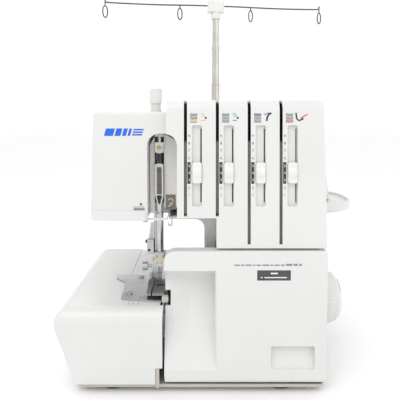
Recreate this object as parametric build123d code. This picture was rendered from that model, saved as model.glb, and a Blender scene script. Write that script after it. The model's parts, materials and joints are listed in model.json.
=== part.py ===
from build123d import *
import math
import os

# Serger (overlock) machine, millimetres.
# Modelling datum: X = 0 in the middle of the throat side, Y = 0 on the front plane, Z = 0 on the desk.
# Everything is moved by datum_shift on export, so the origin is the bottom centre of the whole machine.

# Overall sizes
left_x = -148.0
right_x = 127.0
depth = 209.0
table_z = 85.0
body_top_z = 145.3
tower_top_z = 295.0
wall = 2.6

# Casing joints
door_left_x = -36.0
cloth_right_x = -38.0
seam_x = -84.0
tower_left_x = -33.8
casing_split_y = 42.0
column_x = 5.0
arm_back_y = 105.0
tray_left_x = -147.0
tray_right_x = 200.0
tray_front_y = 115.0
tray_back_y = 231.0
tray_top_z = 169.0

datum_shift = Vector(-(left_x + tray_right_x) / 2, -tray_back_y / 2, 0)

# Axes of the mechanism
shaft_y = 82.0
shaft_z = 67.0
shaft_r = 5.0
rocker_z = 234.5
needle_bar_x = -43.5
needle_bar_y = 48.0
needle_bar_r = 3.6
presser_x = -49.0
presser_y = 62.0
presser_r = 3.0
running_gap = 0.05
door_hinge_y = 4.6
door_hinge_z = 14.6
cloth_pivot_x = -88.0
cloth_pivot_y = 205.0
motor_y = 165.0
motor_z = 46.0
mast_x = 20.8
mast_y = 173.0
knife_rod_x = -9.0
knife_rod_y = 46.0
lower_looper_x = -61.0
lower_looper_z = 31.0
upper_looper_x = -19.0
upper_looper_z = 40.0
lifter_y = 99.6
lifter_z = 190.0
inlet_y = 190.0
inlet_z = 40.0
switch_y = 190.0
switch_z = 72.0
lever_y = 38.0
lever_z = 60.0

# Looper cover: chip scoop on the left, finger grip and name plate on the right
scoop_right_x = 15.0
scoop_low_z = 24.0
scoop_high_z = 126.0
scoop_depth = 24.5
grip_x0 = 71.0
grip_x1 = 115.0
grip_z0 = 25.0
grip_z1 = 49.0
label_box = (56.5, 90.0, 116.0, 126.5)

# Tension columns: each has a thread slot and a sliding tension knob to its right
column_pitch = 31.75
slot_first_x = -14.6
track_first_x = -3.1
slot_width = 3.2
track_width = 10.5
track_low = 189.0
track_high = 270.0
knob_height = 21.0
knob_z = 222.5
slit_offset = 4.0
face_low_y = 4.0
face_low_z = 147.3
face_lean = 2.9
column_count = 4

# Arched window in the face
recess_x0 = -54.0
recess_x1 = -23.0
recess_top = 261.0

# Thread guide on top of the mast
guide_yaw = 8.0
wire_z = 425.5

pin_positions = [-108.0, -22.0, 64.0, 150.0]


def block(x0, x1, y0, y1, z0, z1):
    return Pos((x0 + x1) / 2, (y0 + y1) / 2, (z0 + z1) / 2) * Box(x1 - x0, y1 - y0, z1 - z0)


def rod_x(x0, x1, y, z, r):
    return Pos((x0 + x1) / 2, y, z) * Rot(0, 90, 0) * Cylinder(r, x1 - x0)


def rod_y(y0, y1, x, z, r):
    return Pos(x, (y0 + y1) / 2, z) * Rot(90, 0, 0) * Cylinder(r, y1 - y0)


def rod_z(z0, z1, x, y, r):
    return Pos(x, y, (z0 + z1) / 2) * Cylinder(r, z1 - z0)


def counter_clockwise(points):
    area = 0.0
    for (ax, ay), (bx, by) in zip(points, points[1:] + points[:1]):
        area += ax * by - bx * ay
    return points if area > 0 else points[::-1]


def prism_x(points, x0, x1):
    """Extrude a (y, z) outline along X."""
    plane = Plane(origin=(x0, 0, 0), x_dir=(0, 1, 0), z_dir=(1, 0, 0))
    return extrude(plane * Polygon(*counter_clockwise(points), align=None), amount=x1 - x0)


def prism_y(points, y0, y1):
    """Extrude an (x, z) outline along Y."""
    plane = Plane(origin=(0, y1, 0), x_dir=(1, 0, 0), z_dir=(0, -1, 0))
    return extrude(plane * Polygon(*counter_clockwise(points), align=None), amount=y1 - y0)


def prism_z(points, z0, z1):
    """Extrude an (x, y) outline along Z."""
    plane = Plane(origin=(0, 0, z0))
    return extrude(plane * Polygon(*counter_clockwise(points), align=None), amount=z1 - z0)


def edges_near(shape, axis, x=None, y=None, z=None, tolerance=0.3):
    """Edges parallel to an axis whose middle lies at the given coordinates."""
    found = []
    for edge in shape.edges().filter_by(axis):
        middle = edge.center()
        if x is not None and abs(middle.X - x) > tolerance:
            continue
        if y is not None and abs(middle.Y - y) > tolerance:
            continue
        if z is not None and abs(middle.Z - z) > tolerance:
            continue
        found.append(edge)
    return found


def face_y(z):
    """Front of the leaning tower face at height z."""
    return face_low_y + (z - face_low_z) * math.tan(math.radians(face_lean))


def tower_frame(x, z):
    """A frame on the tower face: x to the right, y up along the face, z out of the face."""
    lean = math.radians(face_lean)
    outward = (0, -math.cos(lean), math.sin(lean))
    return Plane(origin=(x, face_y(z), z), x_dir=(1, 0, 0), z_dir=outward)


def on_tower(x, z, shape):
    return tower_frame(x, z).location * shape


def make_base_pan():
    pan_right = right_x - 1.5
    pan_left = -124.0
    pan_back = depth - 2
    pan = block(pan_left, pan_right, 2, pan_back, 5.5, 8.5)
    pan = fillet(pan.edges().filter_by(Axis.Z), 6)
    post = block(-44.5, -41.2, 0.3, 3.2, 5.5, 25.5)
    pan += post + block(-44.5, -41.2, 0.3, 8, 5.5, 8.5)
    for x in (-10.0, 60.0, 104.0):
        pan += hinge_lug(x)
    pan += block(-112, -106, 60, 170, 8.5, 12)
    for x, y in foot_centres():
        pan -= rod_z(5, 9, x, y, 2.1)
    vent_length = 34.0
    for index in range(6):
        pan -= block(30, 30 + vent_length, 120 + index * 9, 124 + index * 9, 5, 9)
    pan += rod_z(8.5, 20, cloth_pivot_x, cloth_pivot_y, 2.0)
    return pan


def hinge_lug(x):
    lug = block(x - 2.5, x + 2.5, door_hinge_y, 13, door_hinge_z - 1.9, door_hinge_z + 1.9)
    lug += rod_x(x - 2.5, x + 2.5, door_hinge_y, door_hinge_z, 1.9)
    lug += block(x - 2.5, x + 2.5, 9.5, 13, 8.5, door_hinge_z + 1.9)
    return lug - rod_x(x - 3, x + 3, door_hinge_y, door_hinge_z, 1.2)


def foot_centres():
    return [(-89.6, 25.0), (83.3, 25.0), (-89.6, 184.0), (83.3, 184.0)]


def make_rubber_feet():
    feet = []
    for x, y in foot_centres():
        foot = rod_z(0, 5.5, x, y, 18)
        foot = fillet(foot.edges().sort_by(Axis.Z)[:1], 2)
        feet.append(foot - rod_z(-1, 4, x, y, 4) - rod_z(0, 6, x, y, 2.1))
    return Compound(children=feet)


def foot_screws():
    return [rod_z(4, 12, x, y, 2.05) + rod_z(1.5, 4, x, y, 3.8) for x, y in foot_centres()]


def make_main_frame():
    frame = block(-79, 118, 32, 198, 12.2, 18)
    for x, y in ((-70, 170), (108, 40), (108, 188), (-40, 188), (20, 40)):
        frame += rod_z(8.5, 13, x, y, 5)
    # Pedestal under the needle plate
    frame += block(-79.2, -74.5, 32, 92, 18, table_z + 0.3)
    frame += block(-79.2, -20, 86.5, 92, 18, table_z - wall)
    frame += block(-79.2, -40.6, 86.5, 92, 18, table_z + 0.3)
    # Bearing walls of the main shaft
    frame += block(98, 106, 60, 104, 18, 96)
    frame += block(-26, -18, 66, 92, 18, 80)
    # Upright and arm
    frame += block(30, 92, 66, 98, 18, 250)
    frame += block(-70, 92, 72, 98, 214, 250)
    head_left = -72.0
    frame += block(head_left, -56, 68, 98, 176, 262)
    for low, high in ((176.5, 186), (200, 209)):
        lug = block(head_left, -36.5, 42.6, 98, low, high)
        frame += lug
    # Looper shaft posts and knife rod pillar
    frame += block(lower_looper_x - 6, lower_looper_x + 6, 57, 66, 18, lower_looper_z + 6)
    frame += block(upper_looper_x - 5, upper_looper_x + 5, 32.5, 39, 18, upper_looper_z + 5)
    frame += block(knife_rod_x - 6, knife_rod_x + 6, 50, 58, 18, 58)
    frame += block(knife_rod_x - 6, knife_rod_x + 6, knife_rod_y - 5, 50, 50, 58)
    # Bar behind the front edge that carries the lower knife
    frame += block(-52, -36.9, 32, 40, 18, 60)
    frame = fillet(edges_near(frame, Axis.X, y=66, z=250), 3)
    # Room for the needle bar crank and for the presser lifter
    frame -= block(-52.5, -37.5, 60, 89.8, 213, 251)
    frame -= block(-67.5, -55, 92.5, 99, 170, 215)
    # Bores
    frame -= rod_x(-30, 110, shaft_y, shaft_z, shaft_r + 3)
    frame -= rod_x(-60, 110, shaft_y, rocker_z, 6.5)
    frame -= rod_z(170, 212, needle_bar_x, needle_bar_y, needle_bar_r + 1.2)
    frame -= rod_z(170, 212, presser_x, presser_y, presser_r + 1.2)
    frame -= rod_y(50, 70, lower_looper_x, lower_looper_z, 3.05)
    frame -= rod_y(30, 42, upper_looper_x, upper_looper_z, 3.05)
    return frame + knife_guide_rod() + lever_pin() + lifter_pin()


def make_bearing_bushes():
    bushes = []
    for low, high in ((176.5, 186), (200, 209)):
        for x, y, r in ((needle_bar_x, needle_bar_y, needle_bar_r), (presser_x, presser_y, presser_r)):
            bush = rod_z(low, high, x, y, r + 1.2)
            bushes.append(bush - rod_z(low - 1, high + 1, x, y, r + running_gap))
    for x0, x1 in ((-26, -18), (98, 106)):
        bush = rod_x(x0, x1, shaft_y, shaft_z, shaft_r + 3)
        bushes.append(bush - rod_x(x0 - 1, x1 + 1, shaft_y, shaft_z, shaft_r + running_gap))
    for x0, x1 in ((-60, -52), (82, 92)):
        bush = rod_x(x0, x1, shaft_y, rocker_z, 6.5)
        bushes.append(bush - rod_x(x0 - 1, x1 + 1, shaft_y, rocker_z, 4 + running_gap))
    return Compound(children=bushes)


def cloth_plate_solid(inset):
    """Outer form of the left block, or its hollow when inset is the wall thickness."""
    low_z = 9.4 if inset == 0 else 0.0
    high_z = table_z - inset
    right = cloth_right_x if inset == 0 else cloth_right_x + 5
    outline = [
        (cloth_left(low_z) + inset, low_z),
        (cloth_left(high_z) + inset, high_z),
        (right, high_z),
        (right, low_z),
    ]
    solid = prism_y(outline, inset, depth - inset)
    top_left = edges_near(solid, Axis.Y, x=cloth_left(high_z) + inset, z=high_z)
    front_top = edges_near(solid, Axis.X, y=inset, z=high_z)
    return fillet(top_left + front_top, 15 - inset)


def cloth_left(z):
    """Left side of the block, which leans out towards the table."""
    return -127.0 - (z - 9.4) * 0.357


def make_cloth_plate():
    plate = cloth_plate_solid(0)
    low_front = [edge for edge in plate.edges() if abs(edge.center().Y) < 0.2 and edge.center().X < -110]
    low_front = [edge for edge in low_front if edge.center().Z < 60]
    plate = fillet(low_front, 4)
    plate -= cloth_plate_solid(wall)
    # Everything right of the seam behind the needle, and the window under the needle plate
    plate -= block(seam_x - 0.2, 0, 92.6, depth + 1, 0, table_z + 1)
    plate -= block(-80, 0, 31.5, 93, 0, table_z + 1)
    for front, high in ((4, table_z - 10), (9, table_z - 5), (14, table_z - wall)):
        plate -= block(-60, cloth_right_x + 1, front, 31.5, 0, high)
    plate -= block(-41.4, -37, 14, 32, 0, table_z + 1)
    # Notch for the post of the base pan
    plate -= block(-45, -37, -1, 6, 0, 26)
    # Hinge eye with a round outer corner
    eye = rod_z(12, 19, cloth_pivot_x, cloth_pivot_y, 3.8)
    eye += block(cloth_pivot_x - 8, cloth_pivot_x, cloth_pivot_y - 1, depth - 0.5, 12, 19)
    corner = block(cloth_pivot_x, seam_x + 2, cloth_pivot_y, depth + 1, 0, table_z + 1)
    corner -= rod_z(-1, table_z + 2, cloth_pivot_x, cloth_pivot_y, 3.8)
    plate = plate + eye - corner
    plate -= rod_z(0, 21, cloth_pivot_x, cloth_pivot_y, 2.0 + running_gap)
    return plate


def make_bed_cover():
    """Fixed table behind the needle plate, with the raised housing beside the knife."""
    low_z = 9.4
    left = seam_x + 0.3
    cover = block(left, column_x, 92.8, depth, low_z, table_z)
    cover = fillet(edges_near(cover, Axis.X, y=depth, z=table_z), 5)
    cover -= block(left - 1, column_x + 1, 90, depth - wall, 0, table_z - wall)
    cover += block(left, left + 2, 93, depth - wall, table_z - 9, table_z - wall)
    housing = block(-33.4, column_x, 28, 92.8, table_z - wall, 124)
    housing = fillet(edges_near(housing, Axis.X, y=92.8, z=124), 12)
    housing -= block(-33.4 + 2.4, column_x - 2.4, 20, 90.4, 70, 121.6)
    housing -= block(-40, -30, 20, 50, 70, 121)
    return cover + housing


def make_rear_cover():
    top_z = 120.0
    left = column_x + 0.3
    right = right_x - wall - 0.3
    cover = block(left, right, 108.5, depth, 9.4, top_z)
    cover = fillet(edges_near(cover, Axis.X, y=depth, z=top_z), 8)
    inner = block(left + wall, right + 1, 100, depth - wall, 0, top_z - wall)
    inner = fillet(edges_near(inner, Axis.X, y=depth - wall, z=top_z - wall), 5.4)
    cover -= inner
    # The side below the table is open to the bed cover
    cover -= block(left - 1, left + wall + 1, 100, depth - wall - 0.2, 0, table_z - wall)
    for index in range(8):
        x = 34 + index * 9.0
        cover -= block(x, x + 3.2, depth - 8, depth + 1, 28, 70)
    for x in bracket_positions():
        cover -= rod_z(110, 125, x, 150, 6.5)
    return cover


def make_right_cover():
    cover = block(right_x - wall, right_x, 26, depth, 9.4, 120)
    cover += block(right_x - wall, right_x, 26, 108, 120, body_top_z + 1.5)
    round_back = edges_near(cover, Axis.X, y=depth)
    cover = fillet(round_back, 8)
    cover -= rod_x(120, 130, shaft_y, shaft_z, 9)
    cover -= block(120, 130, inlet_y - 12.2, inlet_y + 12.2, inlet_z - 8.2, inlet_z + 8.2)
    cover -= block(120, 130, switch_y - 7.2, switch_y + 7.2, switch_z - 10.2, switch_z + 10.2)
    cover -= block(120, 130, lever_y - 7.8, lever_y + 7.8, lever_z - 6.5, lever_z + 6.2)
    return cover


def make_inlet_panel():
    """Mains inlet with its pins, and the frame of the switch above it."""
    return Compound(children=[inlet_socket(), switch_frame()])


def inlet_socket():
    flange = block(right_x, right_x + 1.5, inlet_y - 15, inlet_y + 15, inlet_z - 11, inlet_z + 11)
    flange = fillet(flange.edges().filter_by(Axis.X), 2.5)
    shell = block(right_x - 16, right_x, inlet_y - 12, inlet_y + 12, inlet_z - 8, inlet_z + 8)
    cavity = block(right_x - 13, right_x + 3, inlet_y - 10, inlet_y + 10, inlet_z - 6, inlet_z + 6)
    inlet = flange + shell - cavity
    for y in (inlet_y - 5, inlet_y, inlet_y + 5):
        inlet += block(right_x - 14, right_x - 3, y - 1, y + 1, inlet_z - 2, inlet_z + 2)
    return inlet


def switch_frame():
    frame = block(right_x, right_x + 1.5, switch_y - 9, switch_y + 9, switch_z - 12, switch_z + 12)
    frame += block(right_x - 12, right_x, switch_y - 7, switch_y + 7, switch_z - 10, switch_z + 10)
    frame -= block(right_x - 10, right_x + 2, switch_y - 5.5, switch_y + 5.5, switch_z - 8.6, switch_z + 8.6)
    return frame


def make_power_switch():
    outline = [
        (switch_z + 7.6, 2.8),
        (switch_z, 0.2),
        (switch_z - 7.6, 0.0),
        (switch_z - 7.6, -5.0),
        (switch_z, -7.5),
        (switch_z + 7.6, -5.0),
    ]
    points = [(right_x + out, z) for z, out in outline]
    rocker = prism_y(points, switch_y - 5, switch_y + 5)
    return rocker - rod_y(switch_y - 6, switch_y + 6, right_x - 2.5, switch_z, 0.8)


def make_feed_lever():
    """Differential feed lever: a hub inside the right side and a tab through the slot."""
    hub = rod_x(right_x - 9, right_x - 4, lever_y, lever_z - 30, 6)
    arm = block(right_x - 8, right_x - 5, lever_y - 2.2, lever_y + 2.2, lever_z - 30, lever_z)
    tab = block(right_x - 8, right_x + 9, lever_y - 2.2, lever_y + 2.2, lever_z - 5, lever_z + 5)
    tab = fillet(tab.edges().filter_by(Axis.Y), 2)
    return hub + arm + tab - rod_x(110, 130, lever_y, lever_z - 30, 2.55)


def lever_pin():
    return rod_x(106.2, right_x - 3, lever_y, lever_z - 30, 2.5) + block(
        106.2, 112, lever_y - 5, lever_y + 5, 18, lever_z - 26
    )


def scoop_back_y(z):
    """Sloping back of the scoop at height z."""
    return (scoop_depth - 3.0) * (z - scoop_low_z) / (96.0 - scoop_low_z)


def scoop_outline(extra):
    """Side view of the chip scoop: deep under a rounded brow, running out to the front at the foot."""
    return [
        (-2.0, scoop_low_z - 4 - extra * 3),
        (0.0, scoop_low_z - extra * 3),
        (scoop_depth - 3 + extra, 96.0),
        (scoop_depth + extra, 108.0 + extra * 0.3),
        (scoop_depth - 8 + extra * 0.8, 117.0 + extra),
        (0.0, scoop_high_z + extra),
        (-2.0, scoop_high_z + extra),
    ]


def scoop_solid(extra):
    x0 = door_left_x - 2 if extra == 0 else door_left_x
    solid = prism_x(scoop_outline(extra), x0, scoop_right_x + extra)
    brow = edges_near(solid, Axis.X, y=scoop_depth + extra, z=108 + extra * 0.3, tolerance=0.6)
    solid = fillet(brow, 6)
    low = edges_near(solid, Axis.X, y=scoop_depth - 8 + extra * 0.8, z=117 + extra, tolerance=0.6)
    return fillet(low, 8)


def make_looper_cover():
    cover = block(door_left_x, right_x, 0, 24, 10, body_top_z)
    corner = edges_near(cover, Axis.Y, x=door_left_x, z=body_top_z)
    cover = fillet(corner, 11)
    right_corner = edges_near(cover, Axis.Y, x=right_x, z=body_top_z)
    cover = fillet(right_corner, 2)
    low_edge = edges_near(cover, Axis.X, y=0, z=10)
    cover = fillet(low_edge, 4.4)
    front = [edge for edge in cover.edges() if abs(edge.center().Y) < 0.1 and edge.center().Z > 20]
    cover = fillet(front, 1.6)
    inner = block(door_left_x + 2.4, right_x - 2.4, 2.4, 40, 0, body_top_z - 2.4)
    inner = fillet(edges_near(inner, Axis.Y, x=door_left_x + 2.4, z=body_top_z - 2.4), 8.6)
    cover -= inner
    cover -= block(door_left_x - 1, right_x + 1, 14, 30, 140, body_top_z + 1)
    cover += scoop_solid(2.4)
    cover -= block(door_left_x - 1, right_x + 1, -5, 0, 0, body_top_z + 5)
    cover -= scoop_solid(0)
    rim = edges_near(cover, Axis.Z, x=scoop_right_x, y=0, tolerance=0.4)
    if rim:
        cover = fillet(rim, 3)
    # Thin ribs down the back of the scoop
    for index in range(5):
        x = -27 + index * 3.4
        cover += prism_x([
            (scoop_back_y(58) - 0.5, 58),
            (scoop_back_y(94) - 0.7, 94),
            (scoop_back_y(94) + 1.2, 94),
            (scoop_back_y(58) + 1.2, 58),
        ], x, x + 0.9)
    # Finger grip: a pocket that deepens upwards
    backing = block(grip_x0 - 2.2, grip_x1 + 2.2, 1, 9.4, grip_z0 - 2.2, grip_z1 + 2.2)
    pocket = prism_x([(-1, grip_z0), (1.5, grip_z0), (7, grip_z1), (-1, grip_z1)], grip_x0, grip_x1)
    pocket = fillet(pocket.edges().filter_by(Axis.Y), 2)
    cover = cover + backing - pocket
    # Pocket for the name plate
    x0, x1, z0, z1 = label_box
    cover -= block(x0, x1, -1, 0.8, z0, z1)
    # Gap at the left of the scoop for the knob of the lower knife
    cover -= block(door_left_x - 1, -30.5, 10, 32, 83, 98)
    # Knuckles round the hinge sleeves
    for x in knuckle_positions():
        knuckle = block(x - 4, x + 4, 1.5, door_hinge_y, door_hinge_z - 3.4, door_hinge_z + 3.4)
        knuckle += rod_x(x - 4, x + 4, door_hinge_y, door_hinge_z, 3.6)
        cover += knuckle
    cover -= rod_x(door_left_x + 3, right_x - 3, door_hinge_y, door_hinge_z, 2.4 + running_gap)
    # Latch tongue behind the top right
    cover += block(112, 118, 2, 20, 136, 138.5)
    return cover


def knuckle_positions():
    return [12.0, 38.0, 84.0]


def make_cover_label():
    x0, x1, z0, z1 = label_box
    return block(x0, x1, 0, 0.8, z0, z1)


def make_hinge_rod():
    return rod_x(-14, 108, door_hinge_y, door_hinge_z, 1.2)


def make_hinge_sleeve():
    """Sleeves that slide with the looper cover along the hinge rod and that it turns on."""
    sleeves = []
    for x0, x1 in ((0.0, 49.0), (70.0, 94.0)):
        sleeve = rod_x(x0, x1, door_hinge_y, door_hinge_z, 2.4)
        sleeves.append(sleeve - rod_x(x0 - 1, x1 + 1, door_hinge_y, door_hinge_z, 1.2 + running_gap))
    return Compound(children=sleeves)


def recess_outline(grow):
    """Arched window in the face, about the needle bar."""
    x0 = recess_x0 - grow
    x1 = recess_x1 + grow
    top = recess_top + grow
    radius = 12.0 + grow
    steps = 8
    left = []
    right = []
    for step in range(steps + 1):
        angle = math.radians(90 * step / steps)
        left.append((x0 + radius - radius * math.cos(angle), top - radius + radius * math.sin(angle)))
        right.append((x1 - radius + radius * math.sin(angle), top - radius + radius * math.cos(angle)))
    return [(x0, 165.0)] + left + right + [(x1, 165.0)]


def make_head_cover():
    low_z = 170.6
    high_z = 283.4
    outline = [(-113.0, low_z), (-108.5, high_z), (tower_left_x - 0.2, high_z), (tower_left_x - 0.2, low_z)]
    cover = prism_y(outline, 19, arm_back_y)
    left_edges = [edge for edge in cover.edges().filter_by(Axis.Y) if edge.center().X < -100]
    cover = fillet(left_edges, 4)
    front = [edge for edge in cover.edges() if abs(edge.center().Y - 19) < 0.1 and edge.center().X < -40]
    cover = fillet(front, 3)
    back = [edge for edge in cover.edges() if abs(edge.center().Y - arm_back_y) < 0.1 and edge.center().X < -40]
    cover = fillet(back, 5)
    inner_outline = [(-110.2, low_z + wall), (-106.0, high_z - wall), (0, high_z - wall), (0, low_z + wall)]
    cover -= prism_y(inner_outline, 19 + wall, arm_back_y - wall)
    # Raised band along the foot of the face
    cover += block(-111.5, recess_x0 - 2, 17.8, 20, low_z + 1, low_z + 11)
    cover -= prism_y(recess_outline(0), 10, 25)
    # Opening under the bars, hole of the pressure knob and slot of the presser lifter
    cover -= block(-57, -34.5, 26, 70, low_z - 2, low_z + 5)
    cover -= rod_z(278, 290, presser_x, presser_y, 6.2)
    cover -= block(-67, -57, arm_back_y - 6, arm_back_y + 1, 165, 206)
    return cover + knob_ring()


def make_recess_liner():
    """Dark channel behind the arched window, open at the front and at the foot."""
    outer = prism_y(recess_outline(1.8), 21.8, 67.5)
    inner = prism_y(recess_outline(0.3), 20, 66.0)
    liner = outer - inner
    liner -= block(-60, -15, 15, 70, 150, 173.8)
    for low, high in ((176.3, 186.2), (199.8, 209.2)):
        liner -= block(-75, -36.3, 42.3, 68, low, high)
    liner -= block(-40, -15, 15, 24.5, 150, 290)
    liner -= block(recess_x1, -15, 15, 70, 150, 180.4)
    # Slots for the needle bar crank and the tab of the presser bar
    liner -= block(-46.5, -37, 60, 70, 212, 254)
    liner -= block(-60, -43.4, 57, 70, 210, 230)
    liner -= rod_z(250, 270, needle_bar_x, needle_bar_y, needle_bar_r + 0.8)
    return liner


def make_arm_cover():
    """Rear half of the arm and the column that rises from the bed."""
    high_z = 288.0
    low_z = 168.0
    back = 108.0
    outline = [
        (tower_left_x + 0.2, low_z),
        (column_x, low_z),
        (column_x, table_z + 0.3),
        (right_x - wall - 0.3, table_z + 0.3),
        (right_x - wall - 0.3, body_top_z + 2),
        (right_x, body_top_z + 2),
        (right_x - 3.5, high_z),
        (tower_left_x + 0.2, high_z),
    ]
    cover = prism_y(outline, casing_split_y + 0.2, back)
    throat_corner = edges_near(cover, Axis.Y, x=column_x, z=low_z)
    cover = fillet(throat_corner, 11)
    top_edges = edges_near(cover, Axis.X, y=back, z=high_z)
    cover = fillet(top_edges, 8)
    inner_outline = [
        (tower_left_x - 3, low_z + wall),
        (column_x + wall, low_z + wall),
        (column_x + wall, table_z - 2),
        (right_x - 2 * wall - 0.3, table_z - 2),
        (right_x - 2 * wall - 0.3, body_top_z + 4),
        (right_x - wall - 0.4, body_top_z + 5),
        (right_x - wall - 3.5, high_z - wall),
        (tower_left_x - 3, high_z - wall),
    ]
    inner = prism_y(inner_outline, 30, back - wall)
    inner = fillet(edges_near(inner, Axis.Y, x=column_x + wall, z=low_z + wall), 8.4)
    cover -= inner
    # The front of the column and of the arm's foot, beside and below the tower cover
    front = casing_split_y + 0.2
    cover += block(column_x, 16.3, front, front + wall, 126, 182)
    cover += block(-18, column_x + 1, front, front + wall, 169, 182)
    # Clear of the housing, of the rear cover and of the mast bracket
    cover -= block(0, column_x + 0.1, 20, 200, 60, 126)
    return cover


def tower_outline(inset):
    """Side view of the tower: a leaning face with a rounded top."""
    low = face_low_z + inset
    back = casing_split_y + (5 if inset else 0)
    round_y = 10.0
    round_z = 11.0
    centre_y = face_y(tower_top_z - round_z) + round_y
    centre_z = tower_top_z - round_z
    steps = 6
    crown = []
    for step in range(steps + 1):
        angle = math.radians(90 * step / steps)
        crown.append((centre_y - (round_y - inset) * math.cos(angle), centre_z + (round_z - inset) * math.sin(angle)))
    return [(face_y(face_low_z) + inset, low)] + crown + [(back, tower_top_z - inset), (back, low)]


def slot_positions():
    return [slot_first_x + index * column_pitch for index in range(column_count)]


def track_positions():
    return [track_first_x + index * column_pitch for index in range(column_count)]


def slot_foot(index):
    return 179.0 if index < 2 else 151.0


def make_tower_cover():
    tower = prism_x(tower_outline(0), tower_left_x, right_x)
    # The right side leans in towards the top, and the overhang on the left ends above the throat
    side = prism_y([(right_x, face_low_z), (right_x + 9, face_low_z), (right_x + 9, 300), (right_x - 4, 300)], -5, 60)
    tower -= side
    overhang_z = 177.4
    throat_x = 16.5
    tower -= block(tower_left_x - 1, throat_x, -5, 60, 100, overhang_z)
    level = tower_top_z - 0.05
    top_right = [edge for edge in tower.edges() if edge.center().X > 120 and edge.center().Z > level]
    tower = fillet(top_right, 5)
    top_left = [edge for edge in tower.edges() if abs(edge.center().X - tower_left_x) < 0.2]
    top_left = [edge for edge in top_left if edge.center().Z > level]
    tower = fillet(top_left, 4)
    hollow = prism_x(tower_outline(wall), tower_left_x + wall, right_x)
    hollow -= block(tower_left_x, throat_x + wall, -5, 60, 100, overhang_z + wall)
    hollow -= prism_y([(right_x - wall, 140), (right_x + 9, 140), (right_x + 9, 300), (right_x - wall - 4, 300)],
                      -5, 60)
    backing = []
    for x in track_positions():
        backing.append(on_tower(x, (track_low + track_high) / 2, Pos(0, 0, -3) * Box(15, 85, 6)))
    tower -= hollow
    for piece in backing:
        tower += piece
    # The back of the crown, above the arm cover
    tower += block(tower_left_x + 3, right_x - 8, casing_split_y - wall, casing_split_y, 284, 293)
    for index, x in enumerate(slot_positions()):
        tower -= block(x - slot_width / 2, x + slot_width / 2, -5, 32, slot_foot(index), 300)
    for x in track_positions():
        pocket = Box(track_width, track_high - track_low, 6)
        pocket = fillet(pocket.edges().filter_by(Axis.Z), 2.5)
        tower -= on_tower(x, (track_low + track_high) / 2, Pos(0, 0, -0.6) * pocket)
        slit = Pos(slit_offset, 0, -5) * Box(1.3, 74, 20)
        tower -= on_tower(x, (track_low + track_high) / 2, slit)
    tower -= prism_y(recess_outline(0), -5, 60) & block(-60, recess_x1 + 1, -5, 60, 100, 300)
    return tower - (prism_y(recess_outline(2.1), 21, 60) & block(-60, tower_left_x + wall + 1, 20, 60, 100, 300))


def make_slot_liners():
    """Dark channels behind the thread slots."""
    liners = []
    cover = make_tower_cover()
    for index, x in enumerate(slot_positions()):
        foot = slot_foot(index)
        start_y = 13.2
        outer = block(x - 3.4, x + 3.4, start_y, 34, foot - 1.4, 291)
        inner = block(x - 2.2, x + 2.2, start_y - 1, 32.6, foot, 292)
        liner = outer - inner
        liner &= prism_x([(face_y(150) + wall + 0.3, 140), (face_y(280) + wall + 0.3, 280),
                          (face_y(280) + 10, 291), (60, 291), (60, 140)], x - 5, x + 5)
        liner -= cover
        liners.append(liner.solids().sort_by(SortBy.VOLUME)[-1])
    return Compound(children=liners)


def make_tension_discs():
    """A stud with two dished discs beside each thread slot."""
    sets = []
    for x in slot_positions():
        left = rod_x(x - 2.0, x - 0.3, 23, 226, 7.5)
        right = rod_x(x + 0.3, x + 2.0, 23, 226, 7.5)
        stud = rod_x(x - 2.1, x + 2.1, 23, 226, 1.6)
        sets.append(left + right + stud)
    return Compound(children=sets)


def make_tension_slider():
    """Slider knob in the local frame of the tower face, with its foot through the slit."""
    body = Box(track_width - 0.9, knob_height, 5.0)
    body = fillet(body.edges().filter_by(Axis.Z), 2)
    body = fillet(body.faces().sort_by(Axis.Z)[-1:].edges(), 0.8)
    dome = Pos(0, 0, -6.6) * Sphere(10.2)
    dome &= Pos(0, 0, 4) * Box(track_width - 1.5, 11, 6)
    knob = Pos(0, 0, -0.8) * body + dome
    knob += Pos(slit_offset, 0, -6) * Box(0.9, 7, 7)
    knob += Pos(slit_offset, 0, -8.2) * Box(4.5, 9, 1.4)
    return knob


def make_needle_bar():
    bar = rod_z(123, 259, needle_bar_x, needle_bar_y, needle_bar_r)
    bar = fillet(bar.edges().sort_by(Axis.Z)[-1:], 1)
    return bar - rod_z(118, 131, needle_bar_x, needle_bar_y, 2.2)


def make_take_up():
    """Bracket clamped to the needle bar: block, neck, bright channel and pointed legs."""
    clamp = block(needle_bar_x - 4.6, needle_bar_x + 4.6, 40, 53, 240, 251)
    clamp -= rod_z(230, 260, needle_bar_x, needle_bar_y, needle_bar_r)
    neck = block(needle_bar_x - 2, needle_bar_x + 2, 38.4, 41, 226, 241)
    channel = block(needle_bar_x - 4.5, needle_bar_x + 4.5, 36.2, 41, 194, 228)
    channel -= block(needle_bar_x - 3, needle_bar_x + 3, 35, 39.4, 190, 232)
    legs = prism_y([(needle_bar_x - 4.5, 194.5), (needle_bar_x - 3, 194.5), (needle_bar_x - 1, 184),
                    (needle_bar_x - 2, 184)], 38.4, 41)
    legs += prism_y([(needle_bar_x + 4.5, 194.5), (needle_bar_x + 3, 194.5), (needle_bar_x + 1, 184),
                     (needle_bar_x + 2, 184)], 38.4, 41)
    stem = block(needle_bar_x - 2, needle_bar_x + 2, 38.4, 41, 176, 185.5)
    screw = rod_y(38.2, 40, needle_bar_x, 245.5, 2.4)
    return clamp + neck + channel + legs + stem + screw


def needle_positions():
    return [needle_bar_x - 3.0, needle_bar_x + 1.0]


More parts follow.
